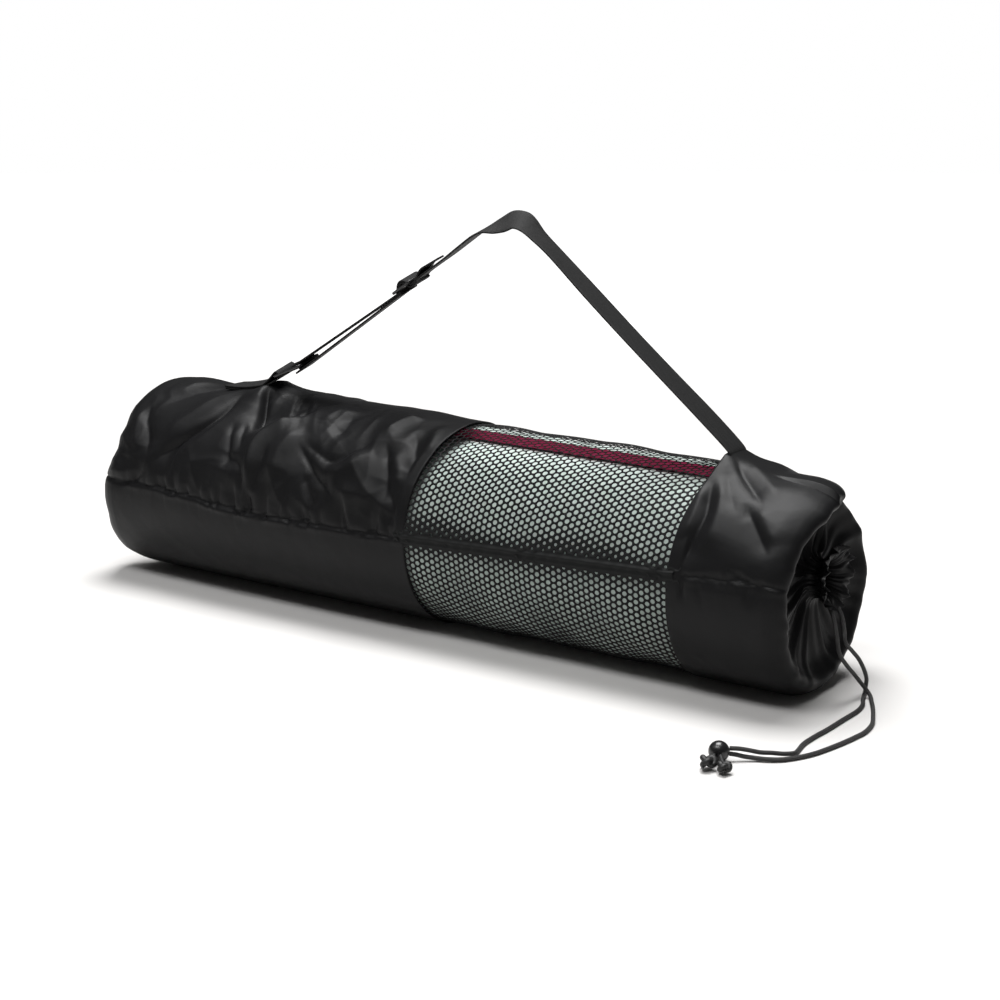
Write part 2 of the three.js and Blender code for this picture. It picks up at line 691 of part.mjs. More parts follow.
// A flat frame with a slot at each place, in the plane of the ring or slider
function slottedFrame(frame, { from, length, bar, thickness, corner, slots }) {
  const half = webbingWidth / 2 + railGap;
  const outline2d = roundedRectangle(from, from + length, half + bar, corner);
  outline2d.holes = slots.map(([start, end]) => roundedRectangle(start, end, half, slotCorner));
  const options = { depth: thickness, bevelEnabled: false, curveSegments: 2 };
  const geometry = new THREE.ExtrudeGeometry(outline2d, options);
  geometry.translate(0, 0, -thickness / 2);
  geometry.rotateY(-degrees(frame.tilt));
  geometry.translate(frame.x, 0, frame.z);
  return geometry;
}

function roundedRectangle(left, right, half, corner) {
  const shape = new THREE.Shape();
  shape.absarc(right - corner, half - corner, corner, 0, Math.PI / 2);
  shape.absarc(left + corner, half - corner, corner, Math.PI / 2, Math.PI);
  shape.absarc(left + corner, corner - half, corner, Math.PI, 1.5 * Math.PI);
  shape.absarc(right - corner, corner - half, corner, 1.5 * Math.PI, 2 * Math.PI);
  return shape;
}

function strapRing() {
  return slottedFrame(ringFrame, {
    from: -ringBar / 2, length: ringLength, bar: ringBar, thickness: ringBar, corner: ringCorner,
    slots: [[ringBar / 2, ringLength - 1.5 * ringBar]],
  });
}

function strapSlider() {
  const slotEnd = sliderLength / 2 - sliderBar;
  return slottedFrame(sliderFrame, {
    from: -sliderLength / 2, length: sliderLength, bar: sliderBar, thickness: sliderThickness,
    corner: sliderCorner, slots: [[-slotEnd, -sliderBar / 2], [sliderBar / 2, slotEnd]],
  });
}

// A cord along its route
function cord(route) {
  const points = route.map(({ along, out, up }) => new THREE.Vector3(
    rim + along * cordReach, -out * cordRun, cordDiameter / 2 + up * cordDrop + fitGap / 4,
  ));
  const ring = new THREE.Shape();
  ring.setFromPoints(Array.from({ length: cordSides }, (_, side) => {
    const turn = (side * 2 * Math.PI) / cordSides;
    return new THREE.Vector2(Math.cos(turn), Math.sin(turn)).multiplyScalar(cordDiameter / 2);
  }));
  const extrudePath = new THREE.CatmullRomCurve3(points, false, 'centripetal');
  return new THREE.ExtrudeGeometry(ring, { steps: cordSteps, bevelEnabled: false, extrudePath });
}

const lockCentre = new THREE.Vector3(rim + lockReach, -lockRun, lockRadius);

function cordLock() {
  return new THREE.SphereGeometry(lockRadius, 14, 10).translate(...lockCentre);
}

// A knot, with the cord's end that runs from it to the lock
function knot(radius, reach) {
  const centre = new THREE.Vector3(rim + reach, -knotRun, radius);
  const run = lockCentre.clone().sub(centre);
  const tip = run.length() - lockRadius - fitGap;
  const neck = Math.asin(cordDiameter / 2 / radius);
  const profile = evenly(-Math.PI / 2, Math.PI / 2 - neck, 6).map((turn) => (
    new THREE.Vector2(radius * Math.cos(turn), radius * Math.sin(turn))
  ));
  profile[0].x = 0;
  profile.push(new THREE.Vector2(cordDiameter / 2, tip), new THREE.Vector2(0, tip));
  const geometry = new THREE.LatheGeometry(profile, 12);
  const upright = new THREE.Vector3(0, 1, 0);
  const turned = new THREE.Quaternion().setFromUnitVectors(upright, run.normalize());
  return geometry.applyQuaternion(turned).translate(...centre);
}

const materials = {
  nylon: new THREE.MeshStandardMaterial({ name: 'black_nylon', color: 0x232327 }),
  net: new THREE.MeshStandardMaterial({ name: 'black_net', color: 0x17171a }),
  mat: new THREE.MeshStandardMaterial({ name: 'foam_mat', color: 0x6f8578 }),
  webbing: new THREE.MeshStandardMaterial({ name: 'black_webbing', color: 0x2a2b2e }),
  plastic: new THREE.MeshStandardMaterial({ name: 'black_plastic', color: 0x18181a }),
  cord: new THREE.MeshStandardMaterial({ name: 'black_cord', color: 0x1c1c1e }),
};

const bag = new THREE.Group();
bag.name = 'yoga_mat_bag';
bag.add(
  piece('closed_panel', closedPanel(), materials.nylon),
  piece('net_window', netWindow(), materials.net),
  piece('mouth_panel', mouthPanel(), materials.nylon),
  piece('mouth_hem', mouthHem(), materials.nylon),
  piece('rolled_mat', rolledMat(), materials.mat),
  piece('strap', strap(), materials.webbing),
  piece('strap_tab', strapTab(), materials.webbing),
  piece('strap_ring', strapRing(), materials.plastic),
  piece('strap_slider', strapSlider(), materials.plastic),
  piece('drawcord_inner', cord(innerCordRoute), materials.cord),
  piece('drawcord_outer', cord(outerCordRoute), materials.cord),
  piece('cord_lock', cordLock(), materials.plastic),
  piece('knot_big', knot(bigKnotRadius, bigKnotReach), materials.cord),
  piece('knot_small', knot(smallKnotRadius, smallKnotReach), materials.cord),
);

export default bag;
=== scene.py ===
# Yoga mat bag, lying on its side round a rolled mat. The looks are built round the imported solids.
# Shapes are worked out in millimetres and made in metres. +X runs along the bag to its drawn
# mouth, -Y is its front and +Z is up. Angles round the bag count from its top to its front.

import math

import bmesh
import bpy
import numpy as np
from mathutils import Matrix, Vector


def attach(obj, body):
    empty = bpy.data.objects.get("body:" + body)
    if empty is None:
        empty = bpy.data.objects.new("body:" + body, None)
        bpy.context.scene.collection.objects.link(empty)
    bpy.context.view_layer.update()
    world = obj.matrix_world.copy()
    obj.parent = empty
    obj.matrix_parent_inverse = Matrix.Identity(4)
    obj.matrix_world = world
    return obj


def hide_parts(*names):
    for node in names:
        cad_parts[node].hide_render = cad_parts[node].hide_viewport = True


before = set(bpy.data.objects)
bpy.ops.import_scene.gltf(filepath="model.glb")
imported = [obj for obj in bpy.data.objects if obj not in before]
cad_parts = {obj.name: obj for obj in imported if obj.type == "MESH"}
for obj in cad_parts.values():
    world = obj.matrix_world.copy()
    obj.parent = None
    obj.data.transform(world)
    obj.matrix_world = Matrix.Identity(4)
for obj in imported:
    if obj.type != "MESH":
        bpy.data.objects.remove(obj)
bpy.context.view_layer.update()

METRES = 0.001
chance = np.random.default_rng(7)

# Bag sizes, as in the solids
CLOSED_END = -322.5
NET_START = 12.0
NET_END = 241.0
RIM = 325.0
CLOSED_RADIUS = 84.0
MOUTH_RADIUS_SIDE = 77.5
NYLON_WALL = 1.2
NET_WALL = 1.0
FIT_GAP = 0.4
SEAM_BOW = 9.0
CORNER_RADIUS = 14.0
RUFFLE_LENGTH = 16.0
LIP_DEPTH = 11.0
ARC_RADIUS = 81.0

# Cloth details: tents under the webbing, groove of the long seam, and the ledge above that seam
TAB_TENT = 9.5
STRAP_TENT = 10.5
TENT_RADIUS = 46.0
GROOVE_DEPTH = 1.7
LEDGE_PLACE = 3.6
LEDGE_WIDTH = 2.6
LEDGE_HEIGHT = 0.6
LEDGE_GAIN = 1.0
SOFT_STOP = 0.5

# Net
NET_PITCH = 5.3
NET_HOLE = 0.345
NET_TUCK = 7.0
NET_FROM_SEAM = 3.0
SEAM_BAND = 5.0
HOLE_SIDES = 12

# Rolled mat
ROLL_START = -305.5
ROLL_END = 304.5
MAT_THICKNESS = 10.0
ROLL_PITCH = 11.0
CORE_RADIUS = 20.0
MAT_EDGE_ANGLE = 0.0
MAT_EDGE_LIFT = 1.0
ROLL_FLOOR = 3.0
ROLL_SLACK = 5.5

# Webbing and hardware. The lead, lift and shares place the ring and slider from the tab's peak
WEB_WIDTH = 25.0
WEB_THICKNESS = 1.5
LAYER_PITCH = 1.9
TAB_PLACE = 0.402
TAB_LENGTH = 50.0
STRAP_PLACE = 2.12
STRAP_RISE = 152.0
RING_BAR = 2.8
RING_LENGTH = 33.0
RING_LEAD = 8.0
RING_LIFT = 9.0
RING_TILT = 22.0
SLIDER_BAR = 2.6
SLIDER_LENGTH = 22.0
SLIDER_THICKNESS = 2.2
SLIDER_ALONG = 0.331
SLIDER_UP = 0.66
SLIDER_TILT = 33.0
HARDWARE_ROLL = 14.0
HARDWARE_CORNER = 2.2
RAIL_GAP = 0.6
WRAP_RADIUS = 3.13

# Cord, with the lock's and knots' middles. Each lies on the floor, so its radius is its height
CORD_DIAMETER = 3.0
CORD_REACH = 60.0
CORD_RUN = 160.0
CORD_DROP = 70.0
LOCK_PLACE = (325.8, -155.8, 6.9)
BIG_KNOT = (326.8, -172.6, 5.8)
SMALL_KNOT = (338.2, -172.6, 4.8)

# Camera
CAMERA_PLACE = (0.7967, -1.0728, 0.4128)
CAMERA_TARGET = (0.0455, 0.0, 0.1042)
CAMERA_LENS = 61.1
CAMERA_SENSOR = 36.0

# Lights: name, place, target, size in metres and watts
WORLD_LIGHT = 0.08
FLOOR_GLOW = (0.7, 2.2)
LIGHTS = [
    ("over", (-0.15, 0.35, 2.1), (0.0, 0.0, 0.0), (1.3, 1.1), 78),
    ("front_top", (0.1, -1.0, 1.75), (0.0, 0.0, 0.1), (1.4, 0.5), 21),
    ("front_left", (-1.23, -0.92, 1.58), (0.0, 0.0, 0.1), (0.9, 0.7), 3),
]

# The bag's outline: place along it (0 to 1 closed panel, 1 to 2 net, 2 to 3 mouth panel), then
# the top, front, bottom and back as shares of the radius there
OUTLINE = np.array([
    (0, 1, 0.98, 0.97, 0.98),
    (0.03, 1.015, 1, 1.012, 1),
    (0.045, 1.045, 1, 1.012, 1),
    (0.14, 1.04, 1.01, 1.012, 1.01),
    (0.235, 1.01, 1.02, 1.012, 1.01),
    (0.3, 1.025, 1.03, 1.012, 1.01),
    (0.5, 1.045, 1.035, 1.012, 1.02),
    (0.76, 1.06, 1.04, 1.012, 1.02),
    (0.88, 1.065, 1.03, 1.012, 1.02),
    (0.95, 1.04, 1.02, 1.012, 1.015),
    (1, 1.035, 1.015, 1.012, 1.01),
    (1.5, 1.045, 1.01, 1.012, 1.01),
    (1.9, 1.035, 1.01, 1.012, 1.01),
    (2.1, 1.03, 1.01, 1.012, 1.01),
    (2.5, 1.015, 1.015, 1.012, 1),
    (2.85, 0.98, 1, 1.012, 0.97),
    (3, 0.95, 0.98, 0.985, 0.93),
])

# The long seam: place along the bag and angle
SEAM = np.array([(0, 84), (0.3, 85), (0.47, 89), (1, 87), (2, 80), (2.6, 76), (3, 77)])

# Folds in the cloth: spots as (x, angle), widths on their left and right, and height, which is
# below 0 in a valley
FOLDS = [
    # Pull of the tab, towards the closed end
    ([(-206, 10), (-211, 30), (-219, 41), (-229, 49), (-241, 57), (-256, 66), (-268, 73)], 4, 12, -7.0),
    ([(-212, 4), (-231, 23), (-239, 35), (-250, 47), (-263, 59)], 9, 9, 3.2),
    ([(-200, 18), (-206, 34), (-214, 48), (-230, 60), (-248, 70)], 7, 7, 2.6),
    ([(-236, -2), (-253, 14), (-266, 25), (-280, 36)], 13, 13, -2.2),
    ([(-250, -6), (-270, 8), (-290, 26)], 12, 12, 2.0),
    ([(-294, 32), (-289, 45), (-278, 56), (-270, 68)], 4, 6, -3.4),
    ([(-300, 38), (-297, 52), (-285, 66)], 6, 6, 2.2),
    ([(-318, 79), (-296, 79), (-278, 75)], 4, 6, 2.4),
    ([(-320, 85), (-295, 86), (-277, 80), (-267, 72)], 3, 4, -2.2),
    ([(-193, 36), (-186, 48), (-180, 59), (-182, 68)], 3, 5, -3.2),
    ([(-182, 35), (-174, 47), (-168, 57)], 3, 4, -2.4),
    ([(-188, 40), (-179, 52), (-174, 62)], 3, 3, 1.8),
    ([(-182, 68), (-176, 62), (-167, 62), (-159, 68), (-155, 80)], 4, 6, -2.8),
    # Peak under the ring and the dark hollow beside it
    ([(-196, 4), (-183, 20), (-175, 34), (-168, 46)], 7, 4, 5.0),
    ([(-189, 4), (-178, 20), (-171, 34), (-168, 46)], 8, 3, -10.0),
    ([(-165, 45), (-159, 37), (-148, 29), (-132, 22), (-116, 15)], 4, 12, -5.0),
    ([(-150, 18), (-132, 12)], 16, 16, -3.5),
    # Bright lobe and the dark triangle beside it
    ([(-116, 24), (-135, 31), (-148, 39), (-154, 48), (-154, 58), (-151, 70), (-147, 80)], 7, 12, 6.0),
    ([(-116, 34), (-124, 46), (-126, 58), (-122, 70)], 9, 9, 3.6),
    ([(-139, 48), (-140, 58), (-142, 68), (-143, 78)], 3, 5, -2.0),
    ([(-116, 42), (-106, 49), (-92, 57), (-77, 65), (-58, 73)], 11, 5, -5.0),
    ([(-98, 60), (-88, 70), (-76, 81)], 9, 7, -2.5),
    # Bright facet below the dark hollow at the top
    ([(-111, 42), (-91, 48), (-72, 52), (-59, 46), (-47, 39), (-36, 32)], 4, 9, -4.2),
    ([(-76, 60), (-60, 57), (-47, 51), (-35, 42)], 9, 9, 4.2),
    ([(-60, 68), (-38, 68), (-20, 71)], 8, 8, 2.6),
    ([(-84, 38), (-78, 29), (-84, 15)], 12, 12, -3.0),
    ([(-104, 30), (-98, 18), (-90, 8)], 7, 9, 2.6),
    # Cloth pulled to the net's corner
    ([(-33, 33), (-34, 25), (-28, 15), (-16, 9)], 5, 7, 3.6),
    ([(-30, 34), (-22, 44), (-14, 56), (-10, 70)], 4, 5, -3.4),
    ([(-20, 40), (-6, 50), (-2, 62)], 5, 5, 2.2),
    ([(-14, 22), (-4, 32), (6, 46), (8, 58)], 4, 6, -2.4),
    ([(-8, 62), (-2, 72), (-3, 82)], 3, 4, -2.4),
    ([(2, 12), (8, 26), (10, 40)], 5, 5, 1.8),
    ([(-140, 18), (-117, 8), (-98, -4)], 8, 10, -2.0),
    # Top and back of the closed panel
    ([(-176, -10), (-140, -20), (-104, -18)], 12, 12, 2.4),
    ([(-196, -14), (-206, -40), (-222, -70)], 5, 10, -4.0),
    ([(-186, -14), (-186, -40), (-196, -74)], 9, 9, 4.0),
    ([(-176, -16), (-160, -44), (-150, -84)], 10, 5, -4.0),
    ([(-166, -14), (-138, -42), (-120, -80)], 9, 11, 3.2),
    ([(-214, -12), (-250, -34), (-284, -64)], 10, 6, -3.4),
    ([(-226, -14), (-268, -34), (-300, -56)], 10, 10, 2.6),
    ([(-120, -24), (-84, -48), (-60, -90)], 6, 10, -3.0),
    ([(-96, -24), (-60, -50), (-36, -88)], 11, 9, 2.8),
    ([(-50, -20), (-24, -44), (-10, -78)], 8, 5, -2.6),
    # Pull of the strap on the mouth panel
    ([(252, 22), (256, 36), (259, 46), (257, 56), (253, 67), (248, 79)], 4, 7, -3.4),
    ([(248, 26), (250, 39), (250, 50), (247, 63)], 4, 4, 2.0),
    ([(256, 20), (266, 38), (268, 54), (264, 68)], 8, 10, 3.2),
    ([(256, 6), (270, 16), (286, 27), (297, 35)], 4, 6, -2.8),
    ([(262, 1), (288, 16), (306, 30)], 8, 9, 2.4),
    ([(281, 34), (292, 43), (303, 53), (314, 63)], 5, 4, -2.8),
    ([(292, 36), (306, 46), (316, 56)], 6, 7, 1.8),
    ([(256, 14), (270, 32), (282, 44)], 6, 6, -1.4),
    ([(256, -10), (276, -34), (292, -64)], 5, 8, -3.0),
    ([(260, -6), (292, -26), (310, -52)], 8, 9, 2.6),
    ([(250, -14), (258, -44), (262, -80)], 7, 7, 2.2),
]

# Gathers along the long seam: from x, to x, how many, reach up, reach down, depth
GATHERS = [
    (-300, -262, 3, 16, 4, 1.6),
    (-258, -190, 6, 22, 4, 2.4),
    (-186, -128, 5, 30, 5, 3.0),
    (-126, -62, 5, 34, 5, 3.0),
    (-58, 4, 5, 30, 5, 2.4),
    (246, 312, 9, 8, 22, 2.0),
]

# Small creases all over the upper cloth: size in mm, slant in degrees and height in mm
CREASES = [(19.0, 12, 0.75), (12.5, 55, 0.5), (8.5, -38, 0.25)]

# The deepest hollow, beside the tab: x, way round in mm, size and depth
DEEP_HOLLOW = (-168.0, 36.0, 18.0, -8.0)

# Rings of the closed end: x from the end and size, as shares of the corner and of the radius
CLOSED_RINGS = np.array([
    (-0.42, 0), (-0.42, 0.1), (-0.4, 0.3), (-0.34, 0.5), (-0.24, 0.68), (-0.08, 0.82),
    (0.12, 0.905), (0.4, 0.957), (0.8, 0.988), (1.2, 1),
])

# Rings of the mouth: x from the rim as a share of the ruffle's length, size, rise in mm, lip,
# pleat in mm, and how round they are
MOUTH_RINGS = np.array([
    (-0.95, 1, 0, 0, 0, 0),
    (-0.6, 0.998, 0, 0.12, 0, 0),
    (-0.3, 0.985, 0, 0.35, 0.2, 0),
    (-0.05, 0.962, 0, 0.62, 0.5, 0),
    (0.12, 0.925, 0, 0.85, 0.8, 0),
    (0.18, 0.88, 0, 1, 1.1, 0),
    (0.1, 0.835, 0, 0.98, 1.5, 0.05),
    (-0.1, 0.78, 0, 0.85, 1.9, 0.1),
    (-0.3, 0.7, 0, 0.6, 2.3, 0.2),
    (-0.42, 0.59, 0, 0.35, 2.6, 0.4),
    (-0.5, 0.46, 1, 0.15, 2.8, 0.6),
    (-0.56, 0.34, 3, 0.05, 2.6, 0.8),
    (-0.54, 0.24, 6, 0, 2.2, 1),
    (-0.4, 0.185, 7, 0, 1.6, 1),
    (-0.15, 0.17, 7, 0, 1.6, 1),
    (0.1, 0.2, 8, 0, 2.2, 1),
    (0.38, 0.26, 9, 0, 3, 1),
    (0.62, 0.3, 10, 0, 3.4, 1),
    (0.67, 0.29, 10, 0, 3.4, 1),
    (0.55, 0.25, 10, 0, 3, 1),
    (0.2, 0.175, 9, 0, 1.8, 1),
    (-0.2, 0.14, 9, 0, 1.2, 1),
    (-0.6, 0.135, 7, 0, 1, 1),
])

# How far the closed end and the mouth lean along the bag in mm, by angle
CLOSED_LEAN = np.array([
    (-180, 0), (-20, 0), (35, 2), (50, 5.5), (66, 5.5), (78, 0), (90, -6), (110, -8.5),
    (125, -14), (140, -18), (150, -14), (165, -3), (180, 0),
])
MOUTH_LEAN = np.array([
    (-180, 0), (-90, 0), (-65, -4), (-50, -11), (-38, -17), (-25, -15), (-10, -6), (8, -1),
    (20, 0), (180, 0),
])
LEAN_REACH = 65.0

# Plain helpers


def smooth_step(low, high, value):
    share = np.clip((value - low) / (high - low), 0.0, 1.0)
    return share * share * (3.0 - 2.0 * share)


def smooth_path(points, per_step):
    """A smooth curve through the points, sampled evenly between each two."""
    points = np.asarray(points, float)
    padded = np.vstack([2 * points[0] - points[1], points, 2 * points[-1] - points[-2]])
    out = []
    for i in range(len(points) - 1):
        a, b, c, d = padded[i:i + 4]
        for t in np.arange(per_step) / per_step:
            out.append(0.5 * (
                2 * b + (c - a) * t + (2 * a - 5 * b + 4 * c - d) * t * t
                + (3 * b - a - 3 * c + d) * t ** 3
            ))
    out.append(points[-1])
    return np.array(out)


def even_path(points, step):
    """Resamples a polyline so that its points lie about a step apart."""
    points = np.asarray(points, float)
    lengths = lengths_along(points[:, :3])
    count = max(int(round(lengths[-1] / step)), 2)
    spots = np.linspace(0.0, lengths[-1], count + 1)
    return np.column_stack([np.interp(spots, lengths, column) for column in points.T])


def soft_table(rows, width):
    """A table's columns, sampled finely along its first one and smoothed."""
    places = np.linspace(rows[0, 0] - 0.2, rows[-1, 0] + 0.2, 700)
    step = places[1] - places[0]
    reach = int(3 * width / step)
    weights = np.exp(-0.5 * (np.arange(-reach, reach + 1) * step / width) ** 2)
    weights /= weights.sum()
    columns = [places]
    for column in rows.T[1:]:
        raw = np.interp(places, rows[:, 0], column)
        padded = np.pad(raw, reach, mode="edge")
        columns.append(np.convolve(padded, weights, mode="valid"))
    return np.array(columns)


SOFT_OUTLINE = soft_table(OUTLINE, 0.02)
SOFT_SEAM = soft_table(SEAM, 0.06)


def add_object(name, data):
    piece = bpy.data.objects.new(name, data)
    bpy.context.scene.collection.objects.link(piece)
    return piece


def add_mesh(name, points, faces, material, uvs=None, flat=0):
    """Makes an object from points in millimetres. The last faces, its ends, may be flat."""
    mesh = bpy.data.meshes.new(name)
    mesh.from_pydata((points * METRES).tolist(), [], faces)
    if uvs is not None:
        ends = np.zeros((len(mesh.loops) - len(uvs), 2))
        layer = mesh.uv_layers.new(name="UVMap")
        layer.data.foreach_set("uv", (np.vstack([uvs, ends]) * METRES).ravel())
    mesh.polygons.foreach_set("use_smooth", [True] * (len(faces) - flat) + [False] * flat)
    mesh.materials.append(material)
    mesh.update()
    return add_object(name, mesh)


def grid_faces(rows, columns, wrap_rows=False, wrap_columns=False):
    """Quads of a grid of points, with their corners' rows and columns unwrapped."""
    row_count = rows if wrap_rows else rows - 1
    column_count = columns if wrap_columns else columns - 1
    r, c = np.meshgrid(np.arange(row_count), np.arange(column_count), indexing="ij")
    r, c = r.ravel(), c.ravel()
    face_rows = np.stack([r, r, r + 1, r + 1], axis=1)
    face_columns = np.stack([c, c + 1, c + 1, c], axis=1)
    return (face_rows % rows) * columns + face_columns % columns, face_rows, face_columns


def end_faces(rows, columns):
    """The two faces that close a tube's ends."""
    return [list(range(columns))[::-1], list(range((rows - 1) * columns, rows * columns))]


def grid_piece(name, points, u, v, material, wrapped=True, flip=False, ends=False):
    """A smooth skin over a grid of points, with u along its rows and v along its columns."""
    rows, columns = points.shape[:2]
    faces, face_rows, face_columns = grid_faces(rows, columns, wrap_columns=wrapped)
    caps = end_faces(rows, columns) if ends else []
    if flip:
        faces, face_rows, face_columns = faces[:, ::-1], face_rows[:, ::-1], face_columns[:, ::-1]
        caps = [cap[::-1] for cap in caps]
    uvs = np.stack([u[face_rows], v[face_columns]], axis=-1).reshape(-1, 2)
    return add_mesh(name, points.reshape(-1, 3), faces.tolist() + caps, material, uvs, len(caps))


def joined(grids):
    """Several grids, each with its own faces, as one list of points and one of faces."""
    points, faces = [], []
    start = 0
    for grid, grid_quads in grids:
        faces += [[start + corner for corner in quad] for quad in grid_quads]
        points.append(grid.reshape(-1, 3))
        start += len(points[-1])
    return np.concatenate(points), faces


def lengths_along(points):
    """Distance of each point from the first one, along the line."""
    return np.r_[0.0, np.cumsum(np.linalg.norm(np.diff(points, axis=0), axis=1))]


def merge_close(piece, distance):
    work = bmesh.new()
    work.from_mesh(piece.data)
    bmesh.ops.remove_doubles(work, verts=work.verts, dist=distance)
    work.to_mesh(piece.data)
    work.free()


# The bag's surface


def bag_radius(x):
    share = (x - CLOSED_END) / (RIM - CLOSED_END)
    return CLOSED_RADIUS + (MOUTH_RADIUS_SIDE - CLOSED_RADIUS) * share


PLACES = (0.0, 1.0, 2.0, 3.0)
PLACE_STARTS = (CLOSED_END, NET_START, NET_END, RIM)


def place_along(x):
    return np.interp(x, PLACE_STARTS, PLACES)


def x_at(place):
    return float(np.interp(place, PLACES, PLACE_STARTS))


def seam_angle(x):
    return np.interp(place_along(x), SOFT_SEAM[0], SOFT_SEAM[1])


def base_radius(x, angle):
    place = place_along(x)
    up = np.cos(np.radians(angle))
    front = np.sin(np.radians(angle))
    top, front_share, bottom, back = (np.interp(place, SOFT_OUTLINE[0], c) for c in SOFT_OUTLINE[1:])
    up_share = np.where(up > 0, top, bottom)
    side_share = np.where(front > 0, front_share, back)
    return bag_radius(x) * (up_share * up ** 2 + side_share * front ** 2)


def roll_edge(x):
    """Radius of the roll at its free edge. It is wound tighter inside the closed panel."""
    slack = ROLL_SLACK * smooth_step(NET_START - 8, NET_START - 60, x)
    return bag_radius(x) + MAT_EDGE_LIFT - slack


def roll_centre(x):
    up = ROLL_FLOOR + roll_edge(x) - ROLL_PITCH * (180 + MAT_EDGE_ANGLE) / 360
    return -ROLL_PITCH / 4, up


def roll_reach(x, angle):
    """How far the rolled mat reaches from the bag's axis."""
    room = 8.0
    turned = np.mod(MAT_EDGE_ANGLE + room - angle, 360.0) / 360.0
    spiral = roll_edge(x) - ROLL_PITCH * (turned - room / 360.0)
    across, up = roll_centre(x)
    turn = np.radians(angle)
    return spiral - across * np.sin(turn) + (up - bag_radius(x)) * np.cos(turn)


def nearest_on_path(x, s, path):
    """Distance to a path, share along it, and side of it, for each point."""
    best = np.full(x.shape, 1e9)
    along = np.zeros(x.shape)
    side = np.ones(x.shape)
    steps = np.linalg.norm(np.diff(path, axis=0), axis=1)
    before = np.r_[0.0, np.cumsum(steps)]
    for i, step in enumerate(steps):
        (ax, a_s), (bx, bs) = path[i], path[i + 1]
        dx, ds = bx - ax, bs - a_s
        share = np.clip(((x - ax) * dx + (s - a_s) * ds) / step ** 2, 0.0, 1.0)
        ex, es = x - ax - share * dx, s - a_s - share * ds
        away = np.hypot(ex, es)
        closer = away < best
        best = np.where(closer, away, best)
        along = np.where(closer, (before[i] + share * step) / before[-1], along)
        side = np.where(closer, np.sign(dx * es - ds * ex), side)
    return best, along, side


def add_fold(relief, x, s, path, left, right, height, ends):
    """Adds one fold's height to the relief of the points near it."""
    reach = 4 * max(left, right)
    low, high = path.min(axis=0) - reach, path.max(axis=0) + reach
    near = (x > low[0]) & (x < high[0]) & (s > low[1]) & (s < high[1])
    if not near.any():
        return
    away, along, side = nearest_on_path(x[near], s[near], path)
    width = np.where(side > 0, left, right)
    keen = 2.2 if height > 0 else 0.9
    shape = np.exp(-(np.sqrt(away ** 2 + keen ** 2) - keen) / width)
    taper = smooth_step(-0.02, ends[0], along) * smooth_step(-0.02, ends[1], 1 - along)
    relief[near] += height * shape * taper


ARC = math.radians(1) * ARC_RADIUS


def gather_list():
    """Gathers along the long seam, as valleys that are steep on one side."""
    out = []
    for start, end, count, up, down, depth in GATHERS:
        for i in range(count):
            x = start + (end - start) * (i + 0.5 + 0.9 * (chance.random() - 0.5)) / count
            seam = float(seam_angle(np.array(x))) * ARC
            for way, reach in ((-1, up), (1, down)):
                long = reach * (0.4 + 0.9 * chance.random() ** 1.5)
                lean = 0.7 * long * (chance.random() - 0.5)
                path = np.array([(x, seam + way * 0.5), (x + lean, seam + way * long)])
                steep = 1.0 + 1.2 * chance.random()
                wide = 3.0 + 4.5 * chance.random()
                sides = (steep, wide) if chance.random() < 0.5 else (wide, steep)
                out.append((path, *sides, -depth * (0.4 + 0.8 * chance.random()), (0.05, 0.95)))
    return out


CLOTH_FOLDS = [
    (smooth_path([(x, a * ARC) for x, a in spots], 5), left, right, height, (0.3, 0.3))
    for spots, left, right, height in FOLDS
] + gather_list()


TAB_PEAK = x_at(TAB_PLACE)
STRAP_PEAK = x_at(STRAP_PLACE)


def tent(x, angle, peak, height):
    """A rise as wide as the webbing on it, running out all round."""
    across = np.clip(np.abs(angle) * math.radians(1) * bag_radius(x) - WEB_WIDTH / 2 + 1.5, 0, None)
    away = np.hypot(x - peak, across) / TENT_RADIUS
    return height * np.clip(1 - away, 0, None) ** 2


def creases(x, s):
    """Small uneven creases with sharp crests."""
    out = np.zeros(x.shape)
    for size, slant, height in CREASES:
        turn = math.radians(slant)
        u = (x * math.cos(turn) + s * math.sin(turn)) / size
        v = (s * math.cos(turn) - x * math.sin(turn)) / size
        bend = 1.5 * np.sin(0.7 * v + 1.3 * np.sin(0.43 * u + slant)) + 0.8 * np.sin(1.9 * v - 0.6 * u)
        fade = 0.5 + 0.5 * np.sin(0.31 * u + 0.5 * v + slant)
        out += height * fade * (1 - 2 * np.abs(np.sin(u + bend)))
    return out


